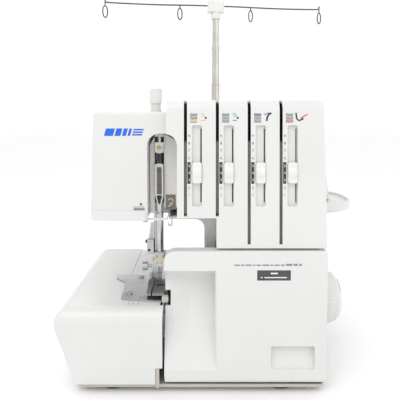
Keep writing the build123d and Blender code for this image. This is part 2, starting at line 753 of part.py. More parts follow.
def make_needle_clamp():
    clamp = block(needle_bar_x - 6.5, needle_bar_x + 5.5, 42.8, 53, 121, 131)
    clamp = fillet(clamp.edges().filter_by(Axis.Z), 1.2)
    clamp -= rod_z(123, 132, needle_bar_x, needle_bar_y, needle_bar_r)
    clamp += block(needle_bar_x - 4, needle_bar_x + 4, 45, 51, 115, 121.2)
    for x in needle_positions():
        clamp -= rod_z(112, 128, x, needle_bar_y, 1.0)
    return clamp


def make_clamp_screws():
    screws = []
    for x, z in ((needle_bar_x - 4, 126), (needle_bar_x + 3, 126), (needle_bar_x - 3, 119.6), (needle_bar_x + 1, 119.6)):
        reach = 42.8 if z > 121 else 45.0
        screw = rod_y(reach - 1.8, reach, x, z, 1.4)
        screws.append(screw)
    return Compound(children=screws)


def make_needles():
    needles = []
    for x in needle_positions():
        shank = rod_z(108, 123, x, needle_bar_y, 1.0)
        cone = Pos(x, needle_bar_y, 107) * Cone(0.5, 1.0, 2)
        blade = rod_z(97.5, 106.1, x, needle_bar_y, 0.5)
        tip = Pos(x, needle_bar_y, 96.5) * Cone(0.08, 0.5, 2)
        needles.append(shank + cone + blade + tip)
    return Compound(children=needles)


def make_presser_bar():
    bar = rod_z(100, 245, presser_x, presser_y, presser_r)
    collar = rod_z(212, 222, presser_x, presser_y, 5.2)
    tab = block(presser_x - 16, presser_x, presser_y - 2, presser_y + 4, 213, 219)
    tab -= block(presser_x - 17, presser_x - 6.9, 60, 70, 210, 216.5)
    return bar + collar + tab


def make_foot_shank():
    """Holder screwed to the presser bar, with its thumb screw on the left."""
    shank = block(presser_x - 4.5, presser_x + 4.5, 56.5, 68, 99, 118)
    shank += block(presser_x - 4.5, presser_x + 4.5, 54, 66, 93.5, 100)
    shank -= rod_z(99.9, 119, presser_x, presser_y, presser_r)
    screw = rod_x(presser_x - 13, presser_x - 4.4, presser_y, 110, 1.6)
    head = rod_x(presser_x - 16, presser_x - 10, presser_y, 110, 4.6)
    return shank + screw + head


def make_presser_foot():
    """Foot with an upturned toe, a needle slot and a flat sole."""
    side = [(25, 90.5), (31, 87.1), (76, 87.1), (76, 89.6), (66, 90.6), (60, 93.5), (50, 93.5), (27, 92.6)]
    foot = prism_x(side, -56.5, -37.9)
    bridge = prism_x([(30, 91), (50, 91), (52, 93.6), (50, 99), (44, 99), (30, 93.5)], -56.5, -51)
    foot += bridge
    foot -= block(-48, -39.2, 44.5, 51.5, 80, 100)
    foot -= block(-52, -50.4, 24, 40, 80, 100)
    return foot


def make_presser_lifter():
    """Lever behind the head; the link from its hub to the presser bar is left open."""
    hub = rod_x(-66, -58.5, lifter_y, lifter_z, 6)
    tail = Pos(-62.25, lifter_y, lifter_z) * Rot(-80, 0, 0) * Pos(0, 12.5, 0) * Box(6, 23, 4)
    return hub + tail - rod_x(-70, -50, lifter_y, lifter_z, 2.5 + running_gap)


def lifter_pin():
    return rod_x(-72.3, -57, lifter_y, lifter_z, 2.5) + block(-76, -67.9, 90, 102, 180, 194)


def make_pressure_knob():
    knob = rod_z(292.8, 309.5, presser_x, presser_y, 6.8)
    knob = fillet(knob.edges().sort_by(Axis.Z)[-1:], 1.6)
    for index in range(18):
        angle = math.radians(index * 20)
        knob -= rod_z(295, 308, presser_x + 7.2 * math.cos(angle), presser_y + 7.2 * math.sin(angle), 0.75)
    knob += rod_z(291.3, 293, presser_x, presser_y, 5.6)
    knob += rod_z(276, 291.5, presser_x, presser_y, 5.3)
    return knob + rod_z(263.6, 276.5, presser_x, presser_y, 3.0)


def knob_ring():
    ring = rod_z(278, 286.2, presser_x, presser_y, 6.2)
    return ring - rod_z(270, 292, presser_x, presser_y, 5.35)


def needle_plate_outline():
    return [(-98.5, 98.3), (-100.5, 94), (-99.4, 88), (-87.5, 74.5), (-86.5, 73), (-83.7, 28), (-82, 26.5),
            (-40.5, 20.5), (-40.5, 98.3)]


def make_needle_plate():
    plate = prism_z(needle_plate_outline(), table_z + 0.3, table_z + 1.7)
    plate -= block(-48.2, -41.2, 44.8, 51.2, 80, 90)
    for x0, x1 in feed_rows():
        plate -= block(x0 - 0.6, x1 + 0.6, 55, 82, 80, 90)
    for x, y in plate_screw_positions():
        plate -= rod_z(80, 90, x, y, 2.0)
    return plate


def plate_screw_positions():
    return [(-77, 40.0), (-70, 89.3)]


def plate_screws():
    screws = []
    for x, y in plate_screw_positions():
        head = rod_z(table_z + 1.7, table_z + 2.5, x, y, 3.4) + rod_z(table_z + 0.3, table_z + 1.8, x, y, 2.0)
        screws.append(head - block(x - 3, x + 3, y - 0.4, y + 0.4, table_z + 2.0, table_z + 3))
    return screws


def feed_rows():
    return [(-54.0, -51.0), (-46.5, -43.5)]


def make_feed_dogs():
    dogs = block(-56, -42, 57, 79, 76, 79.5)
    for x0, x1 in feed_rows():
        row = block(x0, x1, 58, 78, 79, 86.2)
        for index in range(9):
            y = 59.2 + index * 2.1
            row -= prism_x([(y, 86.5), (y + 1.0, 85.0), (y + 2.0, 86.5)], x0 - 1, x1 + 1)
        dogs += row
    dogs += block(-51, -47, 75, 79, 40, 76.5)
    return dogs


def make_lower_looper():
    """Rocks about a shaft along Y under the needle plate, behind the needles."""
    shaft = rod_y(50.5, 74, lower_looper_x, lower_looper_z, 3.0)
    arm = prism_y([(lower_looper_x - 4, lower_looper_z - 3), (lower_looper_x + 4, lower_looper_z - 3),
                   (-58.5, 60), (-54, 70.5), (-60, 69), (-65, 58)], 51.6, 54)
    boss = rod_y(51.2, 56.6, lower_looper_x, lower_looper_z, 6)
    tip = prism_y([(-60, 66.2), (-60, 69), (-51.5, 71), (-50.5, 70.2)], 51.6, 53)
    return shaft + boss + arm + tip


def make_upper_looper():
    """Rocks about a shaft along Y at the right of the needles, in front of them."""
    shaft = rod_y(30, 46, upper_looper_x, upper_looper_z, 3.0)
    boss = rod_y(39.4, 44.6, upper_looper_x, upper_looper_z, 5.5)
    arm = prism_y([(upper_looper_x - 3, upper_looper_z + 4), (upper_looper_x + 3, upper_looper_z + 4),
                   (-21, 62), (-32.5, 79.5), (-34.2, 80), (-33.6, 76), (-26, 60)], 42, 44.4)
    return shaft + boss + arm


def make_lower_knife():
    knife = block(-40.2, -37.2, 20.4, 31.8, 48, 84.8)
    knife -= prism_x([(18, 86), (32, 86), (32, 84.8), (20.4, 82.5)], -41, -38.7)
    return knife


def knife_screws():
    screws = []
    for z in (72, 56):
        screws.append(rod_y(18.2, 20.4, -38.7, z, 2.2) - block(-41, -36, 17, 18.9, z - 0.3, z + 0.3))
    return screws


def make_upper_knife():
    """Moving blade beside the foot, with the arm that runs on the guide rod."""
    blade = prism_x([(28.5, 90), (38, 86.5), (38, 128), (31, 128), (28.5, 120)], -36.8, -34.6)
    arm = block(-36.8, knife_rod_x - 5, 34, 38.4, 100, 112)
    arm += block(knife_rod_x - 6, knife_rod_x + 6, 34, 52, 98, 114)
    arm -= rod_z(90, 120, knife_rod_x, knife_rod_y, 3.0 + running_gap)
    return blade + arm


def knife_guide_rod():
    return rod_z(50, 120, knife_rod_x, knife_rod_y, 3.0)


def make_knife_knob():
    knob = block(-39.6, -33.0, 16.5, 22.3, 86.8, 92.6)
    knob = fillet(knob.edges().filter_by(Axis.Y), 1.2)
    return knob + block(-39.6, -37.4, 20.5, 22.2, 84.8, 88)


def make_thread_hooks():
    """Bent wire hooks under the head, in front of the bars."""
    hooks = []
    for x, y, low, high in ((-30.0, 33.0, 163.0, 172.0), (-57.2, 40.0, 165.0, 170.6)):
        hook = rod_z(low, high, x, y, 0.7) + rod_x(x - 3.5, x, y, low + 0.7, 0.7)
        hook += rod_z(low, low + 3, x - 3.5, y, 0.7)
        hooks.append(hook)
    return Compound(children=hooks)


def make_main_shaft():
    return rod_x(-30, 132, shaft_y, shaft_z, shaft_r)


def make_handwheel():
    profile = [
        (shaft_r, 129.2),
        (31.0, 129.2),
        (31.0, 146.0),
        (29.5, 153.0),
        (24.0, 160.0),
        (14.0, 163.0),
        (0.0, 163.0),
        (0.0, 150.0),
        (shaft_r, 150.0),
    ]
    plane = Plane(origin=(0, shaft_y, shaft_z), x_dir=(0, 0, 1), z_dir=(0, 1, 0))
    outline = Polygon(*counter_clockwise([(r, x) for r, x in profile]), align=None)
    wheel = revolve(plane * outline, Axis((0, shaft_y, shaft_z), (1, 0, 0)), 360)
    wheel = fillet(edges_on_ring(wheel, 29.5) + edges_on_ring(wheel, 24.0), 3)
    for index in range(24):
        angle = math.radians(index * 15)
        wheel -= rod_x(134, 150, shaft_y + 32 * math.cos(angle), shaft_z + 32 * math.sin(angle), 1.8)
    return wheel


def edges_on_ring(shape, radius):
    return [edge for edge in shape.edges().filter_by(GeomType.CIRCLE) if abs(edge.radius - radius) < 0.1]


def make_shaft_pulley():
    pulley = rod_x(109, 118, shaft_y, shaft_z, 24)
    pulley += rod_x(108, 109, shaft_y, shaft_z, 26) + rod_x(118, 119, shaft_y, shaft_z, 26)
    pulley -= rod_x(100, 130, shaft_y, shaft_z, shaft_r)
    for index in range(5):
        angle = math.radians(72 * index)
        pulley -= rod_x(100, 130, shaft_y + 14.5 * math.cos(angle), shaft_z + 14.5 * math.sin(angle), 4.5)
    return pulley


def make_motor():
    body = rod_x(18, 92, motor_y, motor_z, 27)
    body = fillet(body.edges(), 4)
    body += rod_x(92, 97, motor_y, motor_z, 10)
    body += block(30, 80, motor_y - 22, motor_y + 22, 18, 26)
    return body - rod_x(85, 100, motor_y, motor_z, 3.05)


def make_motor_pulley():
    pulley = rod_x(109, 118, motor_y, motor_z, 9) + rod_x(108, 109, motor_y, motor_z, 11)
    return pulley + rod_x(118, 119, motor_y, motor_z, 11) + rod_x(86, 109, motor_y, motor_z, 3)


def make_drive_belt():
    """Open belt round both pulleys, as two straight runs and two arcs."""
    gap = 0.25
    thick = 1.6
    big = 24 + gap
    small = 9 + gap
    dy = motor_y - shaft_y
    dz = motor_z - shaft_z
    span = math.hypot(dy, dz)
    heading = math.atan2(dz, dy)
    tilt = math.acos((big - small) / span)

    def loop(grow):
        points = []
        for side in (1, -1):
            angle = heading + side * tilt
            points.append((math.cos(angle), math.sin(angle)))
        upper, lower = points
        r1 = big + grow
        r2 = small + grow
        straight = prism_x([
            (shaft_y + r1 * upper[0], shaft_z + r1 * upper[1]),
            (motor_y + r2 * upper[0], motor_z + r2 * upper[1]),
            (motor_y + r2 * lower[0], motor_z + r2 * lower[1]),
            (shaft_y + r1 * lower[0], shaft_z + r1 * lower[1]),
        ], 110, 117)
        return straight + rod_x(110, 117, shaft_y, shaft_z, r1) + rod_x(110, 117, motor_y, motor_z, r2)

    return loop(thick) - loop(0)


def make_arm_rocker():
    """Shaft in the arm with the crank that lifts the needle bar; the link between them is left open."""
    shaft = rod_x(-60, 92, shaft_y, rocker_z, 4.0)
    angle = math.radians(21.5)
    length = 26.0
    boss = rod_x(-50, -40, shaft_y, rocker_z, 7)
    crank = Pos(-41.5, shaft_y, rocker_z) * Rot(-21.5, 0, 0) * Pos(0, -length / 2, 0) * Box(3, length, 6)
    tip = rod_x(-43, -40, shaft_y - length * math.cos(angle), rocker_z + length * math.sin(angle), 3)
    return shaft + boss + crank + tip


def bracket_positions():
    return [45.0, 101.0]


def make_spool_tray():
    outline = block(tray_left_x, tray_right_x, tray_front_y, tray_back_y, tray_top_z - 11, tray_top_z)
    outline = fillet(outline.edges().filter_by(Axis.Z), 50)
    outline = fillet(outline.faces().sort_by(Axis.Z)[0].edges(), 3)
    dish = block(tray_left_x + 3, tray_right_x - 3, tray_front_y + 3, tray_back_y - 3, tray_top_z - 3, tray_top_z + 1)
    dish = fillet(dish.edges().filter_by(Axis.Z), 47)
    tray = outline - dish
    hollow = block(tray_left_x + 3, tray_right_x - 3, tray_front_y + 3, tray_back_y - 3, 150, tray_top_z - 5.5)
    hollow = fillet(hollow.edges().filter_by(Axis.Z), 47)
    tray -= hollow
    for x in pin_positions:
        tray += rod_z(tray_top_z - 11, tray_top_z - 1, x, mast_y, 8)
    for x in bracket_positions():
        tray += rod_z(tray_top_z - 11, tray_top_z - 5, x, 150, 9)
    tray += rod_z(tray_top_z - 11, tray_top_z, mast_x, mast_y, 13)
    for x in pin_positions:
        tray -= rod_z(150, 180, x, mast_y, 2.0)
    tray -= rod_z(150, 180, mast_x, mast_y, 5.35)
    return tray + mast_socket()


def make_tray_brackets():
    brackets = []
    for x in bracket_positions():
        post = rod_z(18, tray_top_z - 11, x, 150, 6)
        if x < 100:
            post = rod_z(76, tray_top_z - 11, x, 150, 6) + block(x - 5, x + 5, 98, 156, 72, 80)
        brackets.append(post)
    return Compound(children=brackets)


def make_spool_pins():
    pins = []
    for x in pin_positions:
        pin = rod_z(tray_top_z - 11, tray_top_z + 84, x, mast_y, 2.0)
        pin = fillet(pin.edges().sort_by(Axis.Z)[-1:], 1.2)
        pins.append(pin)
    return Compound(children=pins)


def make_spool_cones():
    """Tapered spool holders that stand over the pins."""
    cones = []
    low_z = tray_top_z - 1
    height = 56.0
    base_r = 25.5
    top_r = base_r - height * math.tan(math.radians(7.4))
    for x in pin_positions:
        outer = Pos(x, mast_y, low_z + height / 2) * Cone(base_r, top_r, height)
        outer = fillet(outer.edges().sort_by(Axis.Z)[-1:], 3)
        inner = Pos(x, mast_y, low_z + height / 2 - 2) * Cone(base_r - 2, top_r - 2, height)
        cone = outer - inner
        cone += rod_z(low_z, low_z + height - 1, x, mast_y, 4.0)
        cones.append(cone - rod_z(low_z - 1, low_z + height + 1, x, mast_y, 2.0))
    return Compound(children=cones)


def mast_socket():
    socket = rod_z(tray_top_z, tray_top_z + 16, mast_x, mast_y, 9)
    socket = fillet(socket.edges().sort_by(Axis.Z)[-1:], 2)
    return socket - rod_z(160, 200, mast_x, mast_y, 5.35)


def make_mast_lower():
    tube = rod_z(tray_top_z - 11, 323, mast_x, mast_y, 5.35)
    return tube - rod_z(tray_top_z - 8, 330, mast_x, mast_y, 4.9)


def make_mast_middle():
    tube = rod_z(292, 372, mast_x, mast_y, 4.82) + rod_z(368, 372, mast_x, mast_y, 5.3)
    return tube - rod_z(280, 380, mast_x, mast_y, 4.45)


def make_mast_upper():
    tube = rod_z(344, 417.4, mast_x, mast_y, 4.38)
    return tube - rod_z(340, 410, mast_x, mast_y, 3.7)


def make_guide_cap():
    """Moulded cap on the mast that holds the two guide wires."""
    cap = Pos(0, 0, 424.6) * Box(22.6, 15, 15.2)
    cap = fillet(cap.edges().filter_by(Axis.Z), 5)
    cap = fillet(cap.faces().sort_by(Axis.Z)[-1].edges(), 2.5)
    cap += rod_z(408, 417.5, 0, 0, 6.6)
    cap -= rod_z(400, 417.4, 0, 0, 4.4 + running_gap)
    cap -= rod_x(-12, 12, 0, wire_z, 0.95)
    return Pos(mast_x, mast_y, 0) * Rot(0, 0, guide_yaw) * cap


def make_guide_wires():
    """Two straight wires with a short upturned end, an outer and an inner eyelet on each."""
    half_length = 145.0
    wires = rod_x(-half_length, half_length, 0, wire_z, 0.95)
    for side in (-1, 1):
        wires += rod_z(wire_z - 4, wire_z + 4.6, side * half_length, 0, 0.95)
        for reach in (half_length, 48.0):
            eyelet = Pos(side * reach, 0, wire_z - 11.5) * Rot(0, 0, 25) * eyelet_loop()
            wires += eyelet
    return Pos(mast_x, mast_y, 0) * Rot(0, 0, guide_yaw) * wires


def eyelet_loop():
    """Tall loop that hangs under the guide wire, about its own centre."""
    wire = 1.7
    width = 7.6
    height = 16.0
    upright = Plane(origin=(0, wire / 2, 0), x_dir=(0, 0, 1), z_dir=(0, -1, 0))
    outer = extrude(upright * SlotOverall(height, width), amount=wire)
    inner = Pos(0, 1, 0) * extrude(upright * SlotOverall(height - 2 * wire, width - 2 * wire), amount=wire + 2)
    return outer - inner + rod_z(height / 2 - 1, 11.5, 0, 0, wire / 2)


def casing_screws():
    heads = []
    for x, z in ((-100.0, 270.0), (-100.0, 184.0)):
        heads.append((x, arm_back_y, z))
    for x, z in ((-20.0, 272.0), (110.0, 272.0), (112.0, 160.0), (20.0, 160.0)):
        heads.append((x, 108.0, z))
    for x in (-70.0, -10.0):
        heads.append((x, depth, 40.0))
    screws = []
    for x, y, z in heads:
        screws.append(rod_y(y, y + 1.6, x, z, 3.4) - block(x - 4, x + 4, y + 0.9, y + 2, z - 0.4, z + 0.4))
    return screws


def make_fixing_screws():
    """Casing, foot, needle plate and knife screws."""
    return Compound(children=casing_screws() + foot_screws() + plate_screws() + knife_screws())


def save(name, shape):
    moved = Pos(datum_shift) * shape
    export_step(moved, f"parts/{name}.step")


sub_parts = {
    "base_pan": make_base_pan,
    "rubber_feet": make_rubber_feet,
    "main_frame": make_main_frame,
    "bearing_bushes": make_bearing_bushes,
    "cloth_plate": make_cloth_plate,
    "bed_cover": make_bed_cover,
    "rear_cover": make_rear_cover,
    "right_cover": make_right_cover,
    "inlet_panel": make_inlet_panel,
    "power_switch": make_power_switch,
    "feed_lever": make_feed_lever,
    "looper_cover": make_looper_cover,
    "cover_label": make_cover_label,
    "hinge_rod": make_hinge_rod,
    "hinge_sleeve": make_hinge_sleeve,
    "head_cover": make_head_cover,
    "recess_liner": make_recess_liner,
    "arm_cover": make_arm_cover,
    "tower_cover": make_tower_cover,
    "slot_liners": make_slot_liners,
    "tension_discs": make_tension_discs,
    "needle_bar": make_needle_bar,
    "take_up": make_take_up,
    "needle_clamp": make_needle_clamp,
    "clamp_screws": make_clamp_screws,
    "needles": make_needles,
    "presser_bar": make_presser_bar,
    "foot_shank": make_foot_shank,
    "presser_foot": make_presser_foot,
    "presser_lifter": make_presser_lifter,
    "pressure_knob": make_pressure_knob,
    "needle_plate": make_needle_plate,
    "feed_dogs": make_feed_dogs,
    "lower_looper": make_lower_looper,
    "upper_looper": make_upper_looper,
    "lower_knife": make_lower_knife,
    "upper_knife": make_upper_knife,
    "knife_knob": make_knife_knob,
    "thread_hooks": make_thread_hooks,
    "main_shaft": make_main_shaft,
    "handwheel": make_handwheel,
    "shaft_pulley": make_shaft_pulley,
    "motor": make_motor,
    "motor_pulley": make_motor_pulley,
    "drive_belt": make_drive_belt,
    "arm_rocker": make_arm_rocker,
    "spool_tray": make_spool_tray,
    "tray_brackets": make_tray_brackets,
    "spool_pins": make_spool_pins,
    "spool_cones": make_spool_cones,
    "mast_lower": make_mast_lower,
    "mast_middle": make_mast_middle,
    "mast_upper": make_mast_upper,
    "guide_cap": make_guide_cap,
    "guide_wires": make_guide_wires,
    "fixing_screws": make_fixing_screws,
}

os.makedirs("parts", exist_ok=True)
for name, make in sub_parts.items():
    save(name, make())
for index, x in enumerate(track_positions()):
    save(f"tension_slider_{index + 1}", on_tower(x, knob_z, make_tension_slider()))
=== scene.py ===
import json
import math

import bmesh
import bpy
from mathutils import Matrix, Vector


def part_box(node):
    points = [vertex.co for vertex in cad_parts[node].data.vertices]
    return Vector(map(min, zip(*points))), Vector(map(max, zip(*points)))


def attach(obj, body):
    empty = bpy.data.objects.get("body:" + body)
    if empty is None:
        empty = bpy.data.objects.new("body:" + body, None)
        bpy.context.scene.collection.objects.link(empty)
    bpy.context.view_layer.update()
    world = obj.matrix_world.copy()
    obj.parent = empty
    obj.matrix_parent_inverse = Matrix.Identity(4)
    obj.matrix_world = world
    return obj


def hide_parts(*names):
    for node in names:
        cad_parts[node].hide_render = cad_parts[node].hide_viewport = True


# Four thread overlock sewing machine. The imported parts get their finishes, then
# printed marks, screws, wires and small fittings are added to them.

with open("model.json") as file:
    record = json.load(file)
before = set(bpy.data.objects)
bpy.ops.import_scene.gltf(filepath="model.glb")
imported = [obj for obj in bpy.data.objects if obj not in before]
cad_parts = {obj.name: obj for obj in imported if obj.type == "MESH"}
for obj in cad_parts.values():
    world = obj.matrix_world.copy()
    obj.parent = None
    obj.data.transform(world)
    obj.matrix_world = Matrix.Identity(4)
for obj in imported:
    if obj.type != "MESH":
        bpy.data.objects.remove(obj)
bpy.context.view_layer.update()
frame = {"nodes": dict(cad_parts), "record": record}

mm = 0.001
coverLow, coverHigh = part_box("looper_cover")
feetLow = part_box("rubber_feet")[0]
coverRight = 127.0   # right edge of the looper cover, from the machine's own datum line
datum = Vector((coverHigh.x - coverRight * mm, coverLow.y, feetLow.z))


def at(x, y, z):
    # millimetres from the machine's own corner: x across, y back from the front cover, z up
    return datum + Vector((x, y, z)) * mm


print("frame loaded, datum", [round(v, 4) for v in datum])

# finishes


def newTree(name):
    material = bpy.data.materials.new(name)
    material.use_nodes = True
    tree = material.node_tree
    tree.nodes.clear()
    shader = tree.nodes.new("ShaderNodeBsdfPrincipled")
    output = tree.nodes.new("ShaderNodeOutputMaterial")
    tree.links.new(shader.outputs["BSDF"], output.inputs["Surface"])
    place = tree.nodes.new("ShaderNodeTexCoord")
    return material, tree, shader, place


def noiseNode(tree, place, scale, detail=3.0, roughness=0.5, stretch=None):
    noise = tree.nodes.new("ShaderNodeTexNoise")
    noise.inputs["Scale"].default_value = scale
    noise.inputs["Detail"].default_value = detail
    noise.inputs["Roughness"].default_value = roughness
    source = place.outputs["Object"]
    if stretch:
        mapping = tree.nodes.new("ShaderNodeMapping")
        mapping.inputs["Scale"].default_value = stretch
        tree.links.new(source, mapping.inputs["Vector"])
        source = mapping.outputs["Vector"]
    tree.links.new(source, noise.inputs["Vector"])
    return noise.outputs["Fac"]


def spread(tree, value, low, high, fromLow=0.3, fromHigh=0.7):
    remap = tree.nodes.new("ShaderNodeMapRange")
    remap.inputs["From Min"].default_value = fromLow
    remap.inputs["From Max"].default_value = fromHigh
    remap.inputs["To Min"].default_value = low
    remap.inputs["To Max"].default_value = high
    tree.links.new(value, remap.inputs["Value"])
    return remap.outputs["Result"]


def mixColour(tree, amount, first, second):
    mix = tree.nodes.new("ShaderNodeMix")
    mix.data_type = "RGBA"
    tree.links.new(amount, mix.inputs["Factor"])
    for socket, value in ((mix.inputs["A"], first), (mix.inputs["B"], second)):
        if isinstance(value, tuple):
            socket.default_value = (*value, 1.0)
        else:
            tree.links.new(value, socket)
    return mix.outputs["Result"]


def edgeMask(tree, radius, low, high):
    # 1 on outer edges, 0 on open faces; the edges are lightened as wear on metal, rubber and dark plastic, and as
    # a painted highlight along the rounded edges of the pale plastic casings
    soft = tree.nodes.new("ShaderNodeBevel")
    soft.samples = 4
    soft.inputs["Radius"].default_value = radius
    hard = tree.nodes.new("ShaderNodeNewGeometry")
    dot = tree.nodes.new("ShaderNodeVectorMath")
    dot.operation = "DOT_PRODUCT"
    tree.links.new(soft.outputs["Normal"], dot.inputs[0])
    tree.links.new(hard.outputs["Normal"], dot.inputs[1])
    return spread(tree, dot.outputs["Value"], 1.0, 0.0, low, high)


def addBump(tree, shader, height, strength, distance):
    bump = tree.nodes.new("ShaderNodeBump")
    bump.inputs["Strength"].default_value = strength
    bump.inputs["Distance"].default_value = distance
    tree.links.new(height, bump.inputs["Height"])
    tree.links.new(bump.outputs["Normal"], shader.inputs["Normal"])


def makeFinish(name, look):
    material, tree, shader, place = newTree(name)
    broad = spread(tree, noiseNode(tree, place, look["patchScale"]), 0.0, 1.0)
    colour = mixColour(tree, broad, look["colour"], look["second"])
    if "fleck" in look:
        fleck = spread(tree, noiseNode(tree, place, look["fleckScale"], 2.0), 0.0, 1.0, 0.60, 0.68)
        colour = mixColour(tree, fleck, colour, look["fleck"])
    # lighter outer edges: real wear on metal and dark parts, painted highlight on the white and cream casings
    if "edgeWearAndSheen" in look:
        colour = mixColour(tree, edgeMask(tree, look["edgeWearAndSheenWidth"], 0.80, 0.97), colour, look["edgeWearAndSheen"])
    tree.links.new(colour, shader.inputs["Base Color"])
    grain = noiseNode(tree, place, look["grainScale"], 2.0, 0.5, look.get("brush"))
    roughness = spread(tree, grain, look["rough"][0], look["rough"][1])
    tree.links.new(roughness, shader.inputs["Roughness"])
    addBump(tree, shader, grain, look["bump"], look["bumpDepth"])
    shader.inputs["Metallic"].default_value = look.get("metal", 0.0)
    shader.inputs["Coat Weight"].default_value = look.get("coat", 0.0)
    shader.inputs["Coat Roughness"].default_value = look.get("coatRough", 0.15)
    return material


finishLooks = {
    "white_case": {
        "colour": (0.70, 0.70, 0.69), "second": (0.665, 0.665, 0.652), "patchScale": 9,
        # the lighter edge colour on this white plastic is a painted highlight along its rounded edges
        "edgeWearAndSheen": (0.79, 0.79, 0.785), "edgeWearAndSheenWidth": 0.0009,
        "grainScale": 1300, "rough": (0.27, 0.36), "bump": 0.10, "bumpDepth": 0.0002,
        "coat": 0.18, "coatRough": 0.22,
    },
    "white_knob": {
        "colour": (0.74, 0.74, 0.725), "second": (0.69, 0.69, 0.67), "patchScale": 45,
        # the lighter edge colour on this white knob is a painted highlight along its rounded edges
        "edgeWearAndSheen": (0.88, 0.88, 0.87), "edgeWearAndSheenWidth": 0.0005,
        "grainScale": 1900, "rough": (0.30, 0.42), "bump": 0.08, "bumpDepth": 0.0002,
        "coat": 0.10,
    },
    "cream_pan": {
        "colour": (0.50, 0.475, 0.41), "second": (0.44, 0.415, 0.35), "patchScale": 14,
        "edgeWearAndSheen": (0.58, 0.555, 0.49), "edgeWearAndSheenWidth": 0.0006,
        "grainScale": 900, "rough": (0.42, 0.58), "bump": 0.16, "bumpDepth": 0.0003,
    },
    "black_rubber": {
        "colour": (0.018, 0.018, 0.019), "second": (0.036, 0.035, 0.034), "patchScale": 60,
        "edgeWearAndSheen": (0.07, 0.068, 0.065), "edgeWearAndSheenWidth": 0.0008,
        "grainScale": 1400, "rough": (0.62, 0.86), "bump": 0.30, "bumpDepth": 0.0004,
    },
    "belt_rubber": {
        "colour": (0.022, 0.022, 0.022), "second": (0.050, 0.048, 0.046), "patchScale": 90,
        "grainScale": 1600, "rough": (0.55, 0.80), "bump": 0.35, "bumpDepth": 0.0004,
    },
    "cast_alloy": {
        "colour": (0.40, 0.41, 0.42), "second": (0.30, 0.31, 0.32), "patchScale": 28,
        "fleck": (0.22, 0.22, 0.22), "fleckScale": 700,
        "edgeWearAndSheen": (0.62, 0.63, 0.64), "edgeWearAndSheenWidth": 0.0008,
        "grainScale": 650, "rough": (0.42, 0.66), "bump": 0.45, "bumpDepth": 0.0006, "metal": 0.9,
    },
    "bushing_brass": {
        "colour": (0.62, 0.44, 0.17), "second": (0.48, 0.32, 0.11), "patchScale": 120,
        "edgeWearAndSheen": (0.80, 0.62, 0.32), "edgeWearAndSheenWidth": 0.0003,
        "grainScale": 1200, "rough": (0.22, 0.42), "bump": 0.10, "bumpDepth": 0.0002, "metal": 1.0,
    },
    "bright_steel": {
        "colour": (0.60, 0.61, 0.62), "second": (0.46, 0.47, 0.48), "patchScale": 70,
        "edgeWearAndSheen": (0.82, 0.83, 0.84), "edgeWearAndSheenWidth": 0.0003,
        "grainScale": 1500, "rough": (0.14, 0.28), "bump": 0.06, "bumpDepth": 0.0002, "metal": 1.0,
    },
    "satin_steel": {
        "colour": (0.56, 0.565, 0.57), "second": (0.45, 0.455, 0.46), "patchScale": 60,
        "edgeWearAndSheen": (0.74, 0.75, 0.76), "edgeWearAndSheenWidth": 0.0004,
        "grainScale": 700, "rough": (0.28, 0.46), "bump": 0.14, "bumpDepth": 0.0002,
        "metal": 1.0, "brush": (0.12, 3.0, 1.0),
    },
    "nickel": {
        "colour": (0.62, 0.60, 0.55), "second": (0.50, 0.48, 0.43), "patchScale": 60,
        "edgeWearAndSheen": (0.80, 0.79, 0.75), "edgeWearAndSheenWidth": 0.0003,
        "grainScale": 1100, "rough": (0.16, 0.30), "bump": 0.05, "bumpDepth": 0.0002,
        "metal": 1.0, "brush": (1.0, 1.0, 0.06),
    },
    "dark_plastic": {
        "colour": (0.016, 0.016, 0.018), "second": (0.030, 0.029, 0.030), "patchScale": 50,
        "edgeWearAndSheen": (0.09, 0.09, 0.09), "edgeWearAndSheenWidth": 0.0004,
        "grainScale": 1500, "rough": (0.34, 0.52), "bump": 0.16, "bumpDepth": 0.0003,
    },
    "recess_grey": {
        "colour": (0.80, 0.79, 0.765), "second": (0.74, 0.73, 0.70), "patchScale": 30,
        "edgeWearAndSheen": (0.84, 0.83, 0.81), "edgeWearAndSheenWidth": 0.0005,
        "grainScale": 1200, "rough": (0.36, 0.52), "bump": 0.14, "bumpDepth": 0.0003,
    },
    # painted reflection: the guide wires get a dark steel colour standing in for the dark surroundings their
    # bright steel reflects
    "wire_dark_reflection": {
        "colour": (0.155, 0.15, 0.14), "second": (0.10, 0.095, 0.09), "patchScale": 90,
        "grainScale": 1500, "rough": (0.24, 0.40), "bump": 0.08, "bumpDepth": 0.0002, "metal": 0.9,
    },
    "channel_brown": {
        "colour": (0.235, 0.195, 0.155), "second": (0.17, 0.14, 0.11), "patchScale": 60,
        "grainScale": 1200, "rough": (0.40, 0.58), "bump": 0.14, "bumpDepth": 0.0003,
    },
    "label_grey": {
        "colour": (0.085, 0.09, 0.095), "second": (0.062, 0.066, 0.070), "patchScale": 160,
        "edgeWearAndSheen": (0.22, 0.22, 0.22), "edgeWearAndSheenWidth": 0.0003,
        "grainScale": 1800, "rough": (0.30, 0.44), "bump": 0.08, "bumpDepth": 0.0001, "metal": 0.4,
    },
    "motor_black": {
        "colour": (0.028, 0.029, 0.031), "second": (0.045, 0.046, 0.048), "patchScale": 40,
        "fleck": (0.10, 0.10, 0.10), "fleckScale": 900,
        "edgeWearAndSheen": (0.20, 0.20, 0.20), "edgeWearAndSheenWidth": 0.0006,
        "grainScale": 800, "rough": (0.40, 0.60), "bump": 0.30, "bumpDepth": 0.0004,
    },
}

